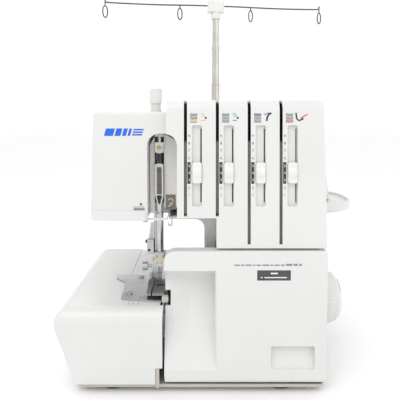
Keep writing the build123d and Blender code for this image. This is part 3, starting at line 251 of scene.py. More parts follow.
inkLooks = {
    "ink_black": ((0.012, 0.012, 0.014), (0.028, 0.028, 0.030)),
    "ink_blue": ((0.004, 0.105, 0.62), (0.008, 0.14, 0.70)),
    "ink_orange": ((0.72, 0.36, 0.02), (0.80, 0.46, 0.05)),
    "ink_teal": ((0.01, 0.27, 0.30), (0.02, 0.35, 0.38)),
    "ink_navy": ((0.01, 0.03, 0.22), (0.02, 0.05, 0.30)),
    "ink_red": ((0.55, 0.03, 0.06), (0.66, 0.07, 0.10)),
    "ink_grey": ((0.20, 0.20, 0.205), (0.26, 0.26, 0.265)),
    "ink_white": ((0.72, 0.72, 0.71), (0.80, 0.80, 0.79)),
    "ink_green": ((0.05, 0.13, 0.03), (0.09, 0.18, 0.04)),
}

finishes = {slotName: makeFinish(slotName, look) for slotName, look in finishLooks.items()}
for inkName, (inkFirst, inkSecond) in inkLooks.items():
    finishes[inkName] = makeFinish(inkName, {
        "colour": inkFirst, "second": inkSecond, "patchScale": 420,
        "grainScale": 2600, "rough": (0.34, 0.48), "bump": 0.05, "bumpDepth": 0.0001,
    })

# painted shade: the foot gets a dark, dull steel colour in place of its slot finish, standing in for the shadow
# under its top plate
finishes["foot_painted_shade"] = makeFinish("foot_painted_shade", {
    "colour": (0.20, 0.20, 0.20), "second": (0.14, 0.14, 0.145), "patchScale": 90,
    "edgeWearAndSheen": (0.42, 0.42, 0.41), "edgeWearAndSheenWidth": 0.0009,
    "grainScale": 900, "rough": (0.38, 0.56), "bump": 0.08, "bumpDepth": 0.0002, "metal": 0.35,
})
darkerNodes = {"presser_foot": "foot_painted_shade"}

slotOf = {row["node"]: row["material_slot"] for row in frame["record"]["subparts"]}
smoothAngle = math.radians(32)
for nodeName, node in frame["nodes"].items():
    node.data.materials.clear()
    node.data.materials.append(finishes[darkerNodes.get(nodeName, slotOf[nodeName])])
    for face in node.data.polygons:
        face.use_smooth = True
        face.material_index = 0
    node.data.set_sharp_from_angle(angle=smoothAngle)

print("finishes made:", len(finishes))

# mesh helpers


def addPiece(name, body, finishName, mesh, angle=32):
    piece = bpy.data.objects.new(name, mesh)
    bpy.context.scene.collection.objects.link(piece)
    if not mesh.materials:
        mesh.materials.append(finishes[finishName])
    for face in mesh.polygons:
        face.use_smooth = True
    mesh.set_sharp_from_angle(angle=math.radians(angle))
    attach(piece, body)
    return piece


def meshFrom(shape, name):
    mesh = bpy.data.meshes.new(name)
    bmesh.ops.recalc_face_normals(shape, faces=shape.faces)
    shape.to_mesh(mesh)
    shape.free()
    return mesh


def slab(shape, outline, origin, across, up, low, high):
    # a flat plate: outline in millimetres on the plane, from low to high along its normal
    normal = across.cross(up)
    rings = []
    for height in (low, high):
        ring = [shape.verts.new(origin + (across * u + up * v + normal * height) * mm) for u, v in outline]
        rings.append(ring)
    shape.faces.new(rings[0][::-1])
    shape.faces.new(rings[1])
    count = len(outline)
    for i in range(count):
        j = (i + 1) % count
        shape.faces.new((rings[0][i], rings[0][j], rings[1][j], rings[1][i]))


def roundedRect(u0, u1, v0, v1, radius, steps=4):
    corners = ((u1 - radius, v1 - radius, 0), (u0 + radius, v1 - radius, 90),
               (u0 + radius, v0 + radius, 180), (u1 - radius, v0 + radius, 270))
    points = []
    for u, v, start in corners:
        for i in range(steps + 1):
            turn = math.radians(start + 90 * i / steps)
            points.append((u + radius * math.cos(turn), v + radius * math.sin(turn)))
    return points


def circle(u, v, radius, steps=20):
    turns = [2 * math.pi * i / steps for i in range(steps)]
    return [(u + radius * math.cos(t), v + radius * math.sin(t)) for t in turns]


def stroke(points, width):
    # an even line along the points, as one outline
    left, right = [], []
    for i, (u, v) in enumerate(points):
        before = points[max(0, i - 1)]
        after = points[min(len(points) - 1, i + 1)]
        run = Vector((after[0] - before[0], after[1] - before[1])).normalized()
        side = Vector((-run.y, run.x)) * width / 2
        left.append((u + side.x, v + side.y))
        right.append((u - side.x, v - side.y))
    return right + left[::-1]


def lathe(shape, profile, centre, axis, steps=48, ribs=0, ribDepth=0.0, ribSpan=None):
    # profile rows are (radius, height) in millimetres along the axis
    axis = axis.normalized()
    side = axis.orthogonal().normalized()
    other = axis.cross(side)
    rings = []
    for radius, height in profile:
        if radius < 1e-6:
            rings.append([shape.verts.new(centre + axis * height * mm)])
            continue
        ring = []
        for i in range(steps):
            turn = 2 * math.pi * i / steps
            r = radius
            if ribs and ribSpan[0] <= height <= ribSpan[1]:
                r -= ribDepth * (0.5 - 0.5 * math.cos(turn * ribs))
            ring.append(shape.verts.new(centre + (side * math.cos(turn) + other * math.sin(turn)) * r * mm
                                        + axis * height * mm))
        rings.append(ring)
    for first, second in zip(rings, rings[1:]):
        for i in range(steps):
            j = (i + 1) % steps
            if len(first) == 1 and len(second) == 1:
                continue
            if len(first) == 1:
                shape.faces.new((first[0], second[j], second[i]))
            elif len(second) == 1:
                shape.faces.new((first[i], first[j], second[0]))
            else:
                shape.faces.new((first[i], first[j], second[j], second[i]))


headCrown = ((0.42, 1.0), (0.8, 0.94), (1.0, 0.7))   # share of the height, share of the outline


def screwHead(shape, centre, axis, radius, height, slots=2, gap=0.9):
    # a domed head cut by one driver slot or a cross of two
    lathe(shape, [(0, 0), (radius, 0), (radius, height * 0.45), (radius * 0.2, height * 0.5), (0, height * 0.5)],
          centre, axis, 24)
    side = axis.orthogonal().normalized()
    other = axis.cross(side)
    parts = 4 if slots == 2 else 2
    half = gap / 2
    sweep = 2 * math.pi / parts
    for part in range(parts):
        start = part * sweep
        outline = []
        if parts == 4:
            outline.append((half * math.sqrt(2), start + sweep / 2))
        inner = math.asin(min(1.0, half / (radius * 0.98)))
        for i in range(9):
            turn = start + inner + (sweep - 2 * inner) * i / 8
            outline.append((radius * 0.98, turn))
        rings = []
        for level, shrink in headCrown:
            ring = []
            middle = Vector((0, 0))
            for r, turn in outline:
                middle += Vector((r * math.cos(turn), r * math.sin(turn)))
            middle /= len(outline)
            for r, turn in outline:
                point = Vector((r * math.cos(turn), r * math.sin(turn)))
                point = middle + (point - middle) * shrink
                rise = axis * height * level
                ring.append(shape.verts.new(centre + (side * point.x + other * point.y + rise) * mm))
            rings.append(ring)
        count = len(outline)
        shape.faces.new(rings[0][::-1])
        shape.faces.new(rings[-1])
        for first, second in zip(rings, rings[1:]):
            for i in range(count):
                j = (i + 1) % count
                shape.faces.new((first[i], first[j], second[j], second[i]))


def wireMesh(name, lines, radius, steps=3, closed=False):
    # round wire along smooth lines, points in metres
    curve = bpy.data.curves.new(name, "CURVE")
    curve.dimensions = "3D"
    curve.bevel_depth = radius * mm
    curve.bevel_resolution = steps
    curve.use_fill_caps = True
    curve.resolution_u = 8
    for points in lines:
        spline = curve.splines.new("NURBS")
        spline.points.add(len(points) - 1)
        for slot, point in zip(spline.points, points):
            slot.co = (*point, 1.0)
        spline.order_u = 3
        spline.use_endpoint_u = not closed
        spline.use_cyclic_u = closed
    holder = bpy.data.objects.new(name + "_line", curve)
    bpy.context.scene.collection.objects.link(holder)
    bpy.context.view_layer.update()
    mesh = bpy.data.meshes.new_from_object(holder.evaluated_get(bpy.context.evaluated_depsgraph_get()))
    bpy.data.objects.remove(holder)
    bpy.data.curves.remove(curve)
    mesh.name = name
    mesh.materials.clear()
    return mesh


def joinMesh(name, meshes):
    shape = bmesh.new()
    for mesh in meshes:
        shape.from_mesh(mesh)
        bpy.data.meshes.remove(mesh)
    joined = bpy.data.meshes.new(name)
    shape.to_mesh(joined)
    shape.free()
    return joined


def wordMesh(words, size, origin, across, up, depth):
    # plain dial numbers
    curve = bpy.data.curves.new("numbers", "FONT")
    curve.body = words
    curve.size = size * mm
    curve.extrude = depth * mm
    curve.align_x = "CENTER"
    curve.align_y = "CENTER"
    curve.resolution_u = 3
    holder = bpy.data.objects.new("numbers_line", curve)
    bpy.context.scene.collection.objects.link(holder)
    bpy.context.view_layer.update()
    mesh = bpy.data.meshes.new_from_object(holder.evaluated_get(bpy.context.evaluated_depsgraph_get()))
    bpy.data.objects.remove(holder)
    bpy.data.curves.remove(curve)
    turn = Matrix((across, up, across.cross(up))).transposed().to_4x4()
    mesh.transform(Matrix.Translation(origin) @ turn)
    mesh.materials.clear()
    return mesh


right, upward, backward = Vector((1, 0, 0)), Vector((0, 0, 1)), Vector((0, 1, 0))
forward = -backward

# printed marks

leanBack = math.radians(2.9)
faceUp = Vector((0, math.sin(leanBack), math.cos(leanBack)))
faceLowY, faceLowZ = 4.0, 147.3   # foot of the leaning tower front
columnPitch, columnCount = 31.75, 4


def onFace(x, z, out=0.0):
    # a point on the leaning front of the thread tower
    y = faceLowY + (z - faceLowZ) * math.tan(leanBack)
    return at(x, y, z) + right.cross(faceUp) * out * mm


dialPrint = {
    "numberX": -10.9, "numberSize": 3.7, "depth": 0.05, "inkLift": 0.04, "blockLift": 0.16,
    "numbers": {"9": 259.0, "8": 251.9, "7": 244.6, "6": 237.2, "2": 207.5, "1": 200.6},
    "blockX": (-12.6, -9.5), "blockZ": (211.6, 233.3),
    "blockNumbers": {"5": 229.4, "4": 222.4, "3": 215.4},
    "iconZ": 278.0, "stitchWidth": 0.85, "seamWidth": 0.6, "inkStitchWidth": 1.2,
    "iconInk": ("ink_orange", "ink_teal", "ink_navy", "ink_red"),
}


def makeDialPrint():
    numbers, lights = [], []
    blocks = bmesh.new()
    size, depth = dialPrint["numberSize"], dialPrint["depth"]
    for column in range(columnCount):
        shift = column * columnPitch
        x = dialPrint["numberX"] + shift
        for text, z in dialPrint["numbers"].items():
            numbers.append(wordMesh(text, size, onFace(x, z, dialPrint["inkLift"]), right, faceUp, depth))
        for text, z in dialPrint["blockNumbers"].items():
            lights.append(wordMesh(text, size, onFace(x, z, dialPrint["blockLift"]), right, faceUp, depth))
        low, high = dialPrint["blockZ"]
        middle = onFace(shift, (low + high) / 2)
        half = (high - low) / 2
        slab(blocks, roundedRect(*dialPrint["blockX"], -half, half, 0.5), middle, right, faceUp, -0.05, 0.1)
    addPiece("column_numbers", "root", "ink_black", joinMesh("column_numbers", numbers))
    addPiece("column_set_numbers", "root", "ink_white", joinMesh("column_set_numbers", lights))
    addPiece("column_set_blocks", "root", "ink_black", meshFrom(blocks, "column_set_blocks"))


def makeIcons():
    # stitch sample in black, one row inked, beside a coloured thread path sign
    samples = bmesh.new()
    for column in range(columnCount):
        shift = column * columnPitch
        origin = onFace(shift, dialPrint["iconZ"])
        inks = bmesh.new()
        for row in range(3):
            v = -4.4 + row * 3.2
            zigzag = [(-9.8 + i * 1.15, v + (1.5 if i % 2 else 0.0)) for i in range(7)]
            seam = [(-9.8, v - 0.7), (-2.9, v - 0.7)]
            slab(samples, stroke(zigzag, dialPrint["stitchWidth"]), origin, right, faceUp, -0.04, 0.08)
            slab(samples, stroke(seam, dialPrint["seamWidth"]), origin, right, faceUp, -0.04, 0.08)
            if row == column % 3:
                slab(inks, stroke(zigzag, dialPrint["inkStitchWidth"]), origin, right, faceUp, -0.04, 0.12)
        if column < 2:
            slab(inks, stroke([(0.4, 3.2), (3.4, 3.2), (4.4, 2.0), (3.2, 0.9), (1.2, 0.9)], 0.8),
                 origin, right, faceUp, -0.04, 0.1)
            slab(inks, stroke([(0.6, -3.4), (4.6, -3.4)], 0.9), origin, right, faceUp, -0.04, 0.1)
            slab(samples, circle(5.6, -0.8, 1.1, 16), origin, right, faceUp, -0.04, 0.08)
        elif column == 2:
            slab(samples, stroke([(7.4, 3.9), (5.2, 3.0), (3.4, 0.4), (2.6, -4.0)], 1.7),
                 origin, right, faceUp, -0.04, 0.1)
            slab(inks, stroke([(0.2, 2.4), (5.6, 4.2)], 0.8), origin, right, faceUp, -0.04, 0.14)
        else:
            slab(samples, stroke([(0.0, 4.2), (0.8, -1.6), (3.2, -3.6), (7.6, -1.4)], 1.5),
                 origin, right, faceUp, -0.04, 0.1)
            slab(inks, stroke([(4.6, -1.2), (11.4, 2.8)], 1.1), origin, right, faceUp, -0.04, 0.14)
        name = f"column_sign_{column + 1}"
        addPiece(name, "root", dialPrint["iconInk"][column], meshFrom(inks, name))
    addPiece("stitch_samples", "root", "ink_black", meshFrom(samples, "stitch_samples"))


headPrint = {
    "face": 19.0,
    "badge": (-97.6, -57.6, 258.9, 266.4),   # x low, x high, z low, z high
    "badgeSlant": 2.2,
    "badgeBars": ((0.0, 9.0), (10.6, 16.6), (18.2, 22.2), (23.8, 26.4)),
    "badgeLines": 3, "linesFrom": 28.4, "lineStep": 2.6, "lineTall": 1.5,
    "dot": (-60.6, 188.8, 1.35),             # x, z, radius
    "plate": (-68.2, -56.8, 182.5, 186.7),
    "plateTeeth": 8,
}


def makeHeadPrint():
    face = at(0, headPrint["face"], 0)
    x0, x1, z0, z1 = headPrint["badge"]
    lean = headPrint["badgeSlant"]
    badge = bmesh.new()
    # plain slanted bars, with no letters
    for low, high in headPrint["badgeBars"]:
        slab(badge, [(x0 + low, z0), (x0 + high, z0), (x0 + high + lean, z1), (x0 + low + lean, z1)],
             face, right, upward, -0.05, 0.16)
    rows, tall = headPrint["badgeLines"], headPrint["lineTall"]
    for row in range(rows):
        v = z0 + 0.4 + row * headPrint["lineStep"]
        left = x0 + headPrint["linesFrom"] + lean * row / rows
        end = x1 - lean * (rows - 1 - row) / rows
        slab(badge, [(left, v), (end, v), (end + 0.4, v + tall), (left + 0.4, v + tall)],
             face, right, upward, -0.05, 0.16)
    addPiece("head_badge", "root", "ink_blue", meshFrom(badge, "head_badge"))
    dotX, dotZ, dotR = headPrint["dot"]
    dot = bmesh.new()
    slab(dot, circle(dotX, dotZ, dotR), face, right, upward, -0.05, 0.12)
    addPiece("head_dot", "root", "ink_green", meshFrom(dot, "head_dot"))
    px0, px1, pz0, pz1 = headPrint["plate"]
    plate = bmesh.new()
    slab(plate, roundedRect(px0, px1, pz0, pz1 - 1.8, 0.4), face, right, upward, -0.05, 0.14)
    step = (px1 - px0) / headPrint["plateTeeth"]
    for i in range(headPrint["plateTeeth"]):
        slab(plate, roundedRect(px0 + i * step, px0 + (i + 0.62) * step, pz1 - 1.2, pz1 - 0.2, 0.2),
             face, right, upward, -0.05, 0.12)
    addPiece("head_plate", "root", "ink_grey", meshFrom(plate, "head_plate"))


coverPrint = {
    "line": (34.0, 110.0, 130.4, 133.0), "gap": 1.15, "tallFrom": 8,   # dashes after this one stand taller
    "dashes": (5.2, 3.4, 6.0, 2.6, 4.4, 7.0, 3.0, 5.2, 3.8, 6.4, 4.2, 2.8),
    "bars": ((70.0, 77.0, 122.6, 124.0), (60.2, 62.0, 118.6, 119.6), (63.6, 86.0, 118.6, 119.6)),
}


def makeCoverPrint():
    # a row of plain dashes and two light bars, with no words
    face = Vector((datum.x, coverLow.y, datum.z))
    x0, x1, z0, z1 = coverPrint["line"]
    dashes = bmesh.new()
    x = x0
    for i, length in enumerate(coverPrint["dashes"]):
        if x + length > x1:
            break
        tall = z1 if i > coverPrint["tallFrom"] else z1 - 0.7
        slab(dashes, roundedRect(x, x + length, z0 + 0.5, tall, 0.4), face, right, upward, -0.05, 0.1)
        x += length + coverPrint["gap"]
    addPiece("cover_dashes", "looper_door", "ink_grey", meshFrom(dashes, "cover_dashes"))
    front = Vector((datum.x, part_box("cover_label")[0].y, datum.z))
    bars = bmesh.new()
    for bx0, bx1, bz0, bz1 in coverPrint["bars"]:
        slab(bars, roundedRect(bx0, bx1, bz0, bz1, 0.3), front, right, upward, -0.03, 0.1)
    addPiece("label_bars", "looper_door", "ink_white", meshFrom(bars, "label_bars"))


makeDialPrint()
makeIcons()
makeHeadPrint()
makeCoverPrint()
print("printed marks made")

# thread tower fittings

slotStrip = {"firstX": -14.6, "halfWidth": 1.52, "behind": 3.4, "thick": 0.8, "topZ": 252.0,
             "feet": (181.4, 181.4, 150.4, 150.4)}


def makeSlotStrips():
    # brown-grey thread channels low in the slots; above them the slots stay black
    strips = bmesh.new()
    for i, foot in enumerate(slotStrip["feet"]):
        x = slotStrip["firstX"] + i * columnPitch
        low = onFace(x, foot, -slotStrip["behind"])
        length = slotStrip["topZ"] - foot
        half = slotStrip["halfWidth"]
        slab(strips, [(-half, 0), (half, 0), (half, length), (half * 0.2, length + 3), (-half, length)],
             low, right, faceUp, -slotStrip["thick"], 0)
    addPiece("thread_channels", "root", "channel_brown", meshFrom(strips, "thread_channels"))


makeSlotStrips()

# thread guide on the mast

guideWire = {
    "height": 425.5, "radius": 0.95, "reach": 145.0, "inner": 48.0, "tip": 4.4, "sag": 0.9,
    "yaw": math.radians(8.0),
    "eyeRadius": 0.8, "eyeWide": 3.472, "eyeTall": 7.776, "eyeDrop": 11.8, "eyeTurn": 0.44, "eyePoints": 10,
}


def makeGuideWires():
    low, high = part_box("guide_cap")
    centre = (low + high) / 2
    wireHeight = datum.z + guideWire["height"] * mm
    along = Vector((math.cos(guideWire["yaw"]), math.sin(guideWire["yaw"]), 0))
    eyeYaw = guideWire["yaw"] + guideWire["eyeTurn"]
    across = Vector((math.cos(eyeYaw), math.sin(eyeYaw), 0))

    def spot(reach, drop):
        point = Vector((centre.x, centre.y, wireHeight)) + along * reach * mm
        point.z -= drop * mm
        return point

    lines = []
    for side in (-1, 1):
        reach, sag = guideWire["reach"] * side, guideWire["sag"]
        lines.append([spot(6 * side, 0), spot(30 * side, -0.1), spot(75 * side, sag), spot(120 * side, sag * 0.6),
                      spot(reach - 1.2 * side, 0.0), spot(reach, -0.6), spot(reach, -guideWire["tip"])])
    wires = [wireMesh("wires", lines, guideWire["radius"])]
    for side in (-1, 1):
        for reach in (guideWire["reach"], guideWire["inner"]):
            middle = spot(reach * side, guideWire["eyeDrop"])
            ring = []
            for i in range(guideWire["eyePoints"]):
                turn = 2 * math.pi * i / guideWire["eyePoints"]
                ring.append(middle + across * guideWire["eyeWide"] * math.sin(turn) * mm
                            + upward * guideWire["eyeTall"] * math.cos(turn) * mm)
            wires.append(wireMesh("eye", [ring], guideWire["eyeRadius"], closed=True))
            stem = [spot(reach * side, 0.2), spot(reach * side, 2.4), spot(reach * side, 4.9)]
            wires.append(wireMesh("stem", [stem], guideWire["eyeRadius"]))
    piece = addPiece("guide_wire_pair", "thread_guide", "wire_dark_reflection",
                     joinMesh("guide_wire_pair", wires), 60)
    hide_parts("guide_wires")


makeGuideWires()

mastTrim = {
    "lips": (("root", 319.4, 5.75), ("mast_middle", 368.2, 5.3)),   # body, height, radius
    "profile": ((-0.42, 0), (0, 0.3), (0.12, 1.0), (0, 1.7), (-0.42, 2.0)),
}


def makeMastTrim():
    # rolled lips where each tube slides into the next
    low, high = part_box("mast_lower")
    centre = Vector(((low.x + high.x) / 2, (low.y + high.y) / 2, datum.z))
    for body, z, r in mastTrim["lips"]:
        lip = bmesh.new()
        lathe(lip, [(r + out, rise) for out, rise in mastTrim["profile"]],
              centre + upward * z * mm, upward, 40)
        addPiece(f"mast_lip_{body}", body, "nickel", meshFrom(lip, f"mast_lip_{body}"))


makeMastTrim()

# knobs and wheel

wheelShape = {
    "profile": ((5.2, 0.0), (30.6, 0.0), (31.0, 0.6), (31.0, 2.2), (30.2, 2.9), (31.0, 3.6), (31.0, 15.2),
                (30.5, 17.4), (29.4, 21.0), (29.0, 22.0), (28.2, 22.6), (27.4, 26.0), (24.0, 29.6), (19.0, 31.8),
                (13.4, 32.6), (12.6, 32.0), (11.8, 31.4), (0.0, 31.4)),
    "ribs": 48, "ribDepth": 0.75, "ribSpan": (3.5, 22.1), "steps": 384,
    "arrowRadius": 21.0, "arrowFace": 30.95,
}


def makeWheel():
    low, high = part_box("handwheel")
    centre = Vector((low.x, (low.y + high.y) / 2, (low.z + high.z) / 2))
    wheel = bmesh.new()
    lathe(wheel, wheelShape["profile"], centre, right, wheelShape["steps"],
          wheelShape["ribs"], wheelShape["ribDepth"], wheelShape["ribSpan"])
    piece = addPiece("ribbed_wheel", "drive", "white_case", meshFrom(wheel, "ribbed_wheel"), 28)
    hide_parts("handwheel")
    mark = bmesh.new()
    reach = wheelShape["arrowRadius"]
    arc = [(reach * math.cos(math.radians(a)), reach * math.sin(math.radians(a))) for a in range(35, 146, 10)]
    face = centre + right * wheelShape["arrowFace"] * mm
    slab(mark, stroke(arc, 1.0), face, backward, upward, -0.3, 0.35)
    tipX, tipY = arc[0]
    slab(mark, [(tipX + 2.6, tipY - 2.6), (tipX - 0.6, tipY + 2.9), (tipX - 3.4, tipY - 0.6)],
         face, backward, upward, -0.3, 0.35)
    addPiece("turning_arrow", "drive", "ink_grey", meshFrom(mark, "turning_arrow"))


makeWheel()


def islands(node):
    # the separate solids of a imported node, each as a list of points
    mesh = node.data
    parent = list(range(len(mesh.vertices)))

    def find(i):
        while parent[i] != i:
            parent[i] = parent[parent[i]]
            i = parent[i]
        return i

    merged = {}
    for vertex in mesh.vertices:
        key = tuple(round(c * 1e6) for c in vertex.co)
        if key in merged:
            parent[find(vertex.index)] = find(merged[key])
        merged[key] = vertex.index
    for edge in mesh.edges:
        a, b = edge.vertices
        parent[find(a)] = find(b)
    groups = {}
    for vertex in mesh.vertices:
        groups.setdefault(find(vertex.index), []).append(vertex.co.copy())
    return list(groups.values())


screwShape = {"slot": 0.26, "leastSlot": 0.5, "dome": 0.45, "mostDome": 1.2}   # shares of the head's radius


def makeScrews():
    # every casing, foot and plate screw gets a driver slot in its head
    heads = bmesh.new()
    for points in islands(frame["nodes"]["fixing_screws"]):
        low = Vector([min(p[i] for p in points) for i in range(3)])
        high = Vector([max(p[i] for p in points) for i in range(3)])
        centre = (low + high) / 2
        size = high - low
        # the screw's own line is the side unlike the other two
        spreads = [abs(size[(i + 1) % 3] - size[(i + 2) % 3]) for i in range(3)]
        axisIndex = spreads.index(min(spreads))
        axis = Vector([1.0 if i == axisIndex else 0.0 for i in range(3)])
        ends = []
        for end, sign in ((high[axisIndex], 1), (low[axisIndex], -1)):
            reach = max(((p - centre) - axis * (p - centre).dot(axis)).length
                        for p in points if abs(p[axisIndex] - end) < 0.05 * mm)
            ends.append((reach, sign, end))
        reach, sign, end = max(ends)
        seat = Vector([end if i == axisIndex else centre[i] for i in range(3)])
        radius = reach / mm
        height = min(screwShape["mostDome"], radius * screwShape["dome"])
        gap = max(screwShape["leastSlot"], radius * screwShape["slot"])
        screwHead(heads, seat - axis * sign * height * 0.45 * mm, axis * sign, radius, height, 2, gap)
    addPiece("driver_heads", "root", "satin_steel", meshFrom(heads, "driver_heads"))


makeScrews()

# arched recess and needle bar

recessTrim = {
    "front": 41.6, "thick": 0.8, "left": (-53.6, -48.6), "right": (-38.4, -23.6),
    "low": 174.4, "high": 258.6, "lipOut": 1.1,
    "signPlate": (-36.9, -26.3, 178.6, 194.8), "plateOut": 0.5, "hookRadius": 2.6,
    "barX": -43.5,
}


def makeRecessTrim():
    wall = at(0, recessTrim["front"], 0)
    low, high = recessTrim["low"], recessTrim["high"]
    shield = bmesh.new()
    x0, x1 = recessTrim["left"]
    slab(shield, [(x0, low), (x1, low), (x1, high - 2.2), (x0 + 2.6, high - 5.4), (x0, high - 11)],
         wall, right, upward, -recessTrim["thick"], 0)
    x0, x1 = recessTrim["right"]
    slab(shield, [(x0, low + 6.4), (x1, low + 6.4), (x1, high - 11), (x1 - 2.6, high - 5.4),
                  (x0 + 3, high), (x0, high)],
         wall, right, upward, -recessTrim["thick"], 0)
    slab(shield, [(-48.4, high - 1.6), (-38.6, high - 1.6), (-38.6, high + 1.0), (-48.4, high + 1.0)],
         wall, right, upward, -recessTrim["thick"], 0)
    for x in (recessTrim["left"][1] - 0.5, recessTrim["right"][0] + 0.5):
        slab(shield, [(x - 0.5, low + 8), (x + 0.5, low + 8), (x + 0.5, high - 2.4), (x - 0.5, high - 2.4)],
             wall, right, upward, 0, recessTrim["lipOut"])
    addPiece("recess_shield", "root", "recess_grey", meshFrom(shield, "recess_shield"))
    px0, px1, pz0, pz1 = recessTrim["signPlate"]
    plate = bmesh.new()
    slab(plate, roundedRect(px0, px1, pz0, pz1, 0.8), wall, right, upward, 0.0, recessTrim["plateOut"])
    addPiece("thread_sign_plate", "root", "channel_brown", meshFrom(plate, "thread_sign_plate"))
    sign = bmesh.new()
    middleX, middleZ = (px0 + px1) / 2, (pz0 + pz1) / 2
    reach = recessTrim["hookRadius"]
    hook = [(middleX + reach * math.cos(math.radians(a)), middleZ + 1.2 + reach * math.sin(math.radians(a)))
            for a in range(-120, 175, 20)]
    tail = [(middleX - 3.4, middleZ - 4.6), (middleX + 0.4, middleZ - 3.4), (middleX + 2.2, middleZ - 0.2)]
    for line in (hook, tail):
        slab(sign, stroke(line, 0.75), wall, right, upward, 0.45, 0.62)
    addPiece("thread_sign", "root", "ink_white", meshFrom(sign, "thread_sign"))


def makeBarTrim():
    x = recessTrim["barX"]
    screw = bmesh.new()
    screwHead(screw, at(x, 38.3, 245.5), forward, 2.3, 1.3, 1, 0.6)
    addPiece("bracket_screw", "needle_bar", "bushing_brass", meshFrom(screw, "bracket_screw"))
    front = at(0, 38.4, 0)
    strip = bmesh.new()
    slab(strip, [(x - 1.9, 228.6), (x + 1.9, 228.6), (x + 1.9, 239.4), (x - 1.9, 239.4)],
         front, right, upward, -0.1, 0.5)
    slab(strip, [(x - 0.35, 184.4), (x + 0.35, 184.4), (x + 1.7, 194.2), (x - 1.7, 194.2)],
         front, right, upward, -2.0, 0.3)
    addPiece("bracket_strip", "needle_bar", "ink_black", meshFrom(strip, "bracket_strip"))
    inlay = bmesh.new()
    bed = at(0, 39.4, 0)
    slab(inlay, [(x - 2.5, 195.4), (x + 2.5, 195.4), (x + 2.5, 224.6), (x - 2.5, 224.6)],
         bed, right, upward, -0.1, 0.35)
    addPiece("channel_inlay", "needle_bar", "channel_brown", meshFrom(inlay, "channel_inlay"))
    ring = bmesh.new()
    lathe(ring, [(0.7, 0), (1.7, 0), (1.7, 0.5), (0.7, 0.7), (0.7, 0)], at(x, 39.05, 221.2), forward, 24)
    addPiece("channel_ring", "needle_bar", "ink_green", meshFrom(ring, "channel_ring"))


makeRecessTrim()
makeBarTrim()

# needle plate, foot and looper dots

plateMarks = {
    "lines": (-74.0, -69.0, -64.0), "length": 7.0, "from": 10.5, "step": 0.4, "width": 0.5, "depth": 0.06,
    "arc": (-60.0, 28.6, 4.2, 2.2),   # centre x, centre y, half width, half depth
}


def makePlateMarks():
    top = Vector((datum.x, datum.y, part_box("needle_plate")[1].z))
    width, length = plateMarks["width"], plateMarks["length"]
    marks = bmesh.new()
    for i, x in enumerate(plateMarks["lines"]):
        y = plateMarks["from"] + i * plateMarks["step"]
        slab(marks, [(x, y), (x + width, y), (x + width, y + length), (x, y + length)],
             top, right, backward, -0.05, plateMarks["depth"])
    centreX, centreY, halfX, halfY = plateMarks["arc"]
    arc = [(centreX + halfX * math.cos(math.radians(a)), centreY + halfY * math.sin(math.radians(a)))
           for a in range(10, 345, 15)]
    slab(marks, stroke(arc, width), top, right, backward, -0.05, plateMarks["depth"])
    addPiece("plate_marks", "root", "ink_grey", meshFrom(marks, "plate_marks"))


footTrim = {
    "block": (-59.4, -52.0, 124.0, 141.0), "blockDepth": (58.4, 65.6),   # clamp block on the presser bar
    "screwZ": 138.0, "screwR": 2.0, "screwH": 2.2,
    "webSet": 2.2, "webThick": 1.2,
    "web": ((-57.8, 140.6), (-52.2, 140.6), (-52.2, 160.0), (-55.4, 160.0)),
    "spring": (6, 1.7, 0.35), "springSpan": (3, 9),   # turns, radius, wire, then foot and rise
}


def makeFootTrim():
    x0, x1, z0, z1 = footTrim["block"]
    y0, y1 = footTrim["blockDepth"]
    block = bmesh.new()
    slab(block, roundedRect(x0, x1, z0, z1, 0.9), at(0, y0, 0), right, upward, -(y1 - y0), 0)
    slab(block, footTrim["web"], at(0, y0 + footTrim["webSet"], 0), right, upward, -footTrim["webThick"], 0)
    addPiece("foot_clamp", "presser", "satin_steel", meshFrom(block, "foot_clamp"))
    screw = bmesh.new()
    screwHead(screw, at(x0, (y0 + y1) / 2, footTrim["screwZ"]), -right,
              footTrim["screwR"], footTrim["screwH"], 1, 0.6)
    screwHead(screw, at((x0 + x1) / 2 - 1.4, y0, z0 + 5.0), forward, 1.5, 0.8, 1, 0.4)
    addPiece("foot_screw", "presser", "ink_black", meshFrom(screw, "foot_screw"))
    low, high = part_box("foot_shank")
    foot = Vector(((low.x + high.x) / 2, low.y - 1.2 * mm, low.z))
    turns, radius, wire = footTrim["spring"]
    start, rise = footTrim["springSpan"]
    coil = []
    for i in range(turns * 10 + 1):
        turn = 2 * math.pi * i / 10
        height = start + rise * i / (turns * 10)
        coil.append(foot + Vector((radius * math.cos(turn), radius * math.sin(turn), height)) * mm)
    addPiece("foot_spring", "presser", "bright_steel", wireMesh("foot_spring", [coil], wire, 2), 60)


threadDots = {"first": (24, 60), "step": (14, -6), "radius": 2.0,
              "inks": ("ink_orange", "ink_teal", "ink_navy", "ink_red")}


def makeThreadDots():
    # coloured dots beside the looper thread path, seen with the cover open
    wall = Vector((datum.x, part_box("main_frame")[0].y, datum.z))
    (x, z), (stepX, stepZ) = threadDots["first"], threadDots["step"]
    for i, ink in enumerate(threadDots["inks"]):
        name = f"thread_dot_{i + 1}"
        dot = bmesh.new()
        slab(dot, circle(x + i * stepX, z + i * stepZ, threadDots["radius"], 18), wall, right, upward, -0.05, 0.12)
        addPiece(name, "root", ink, meshFrom(dot, name))


# side marks

sideMarks = {
    "plate": (150.0, 186.0, 88.0, 106.0), "rows": (0.9, 0.7, 0.82, 0.5), "rowStep": 3.7, "rowTall": 1.1,
    "pins": (-4.6, 0.0, 4.6), "pinRoot": (116.6, 190.0, 40.0),
    "pinProfile": ((0.0, 0.0), (1.0, 0.0), (1.0, 5.6), (0.6, 6.4), (0.0, 6.5)),
}


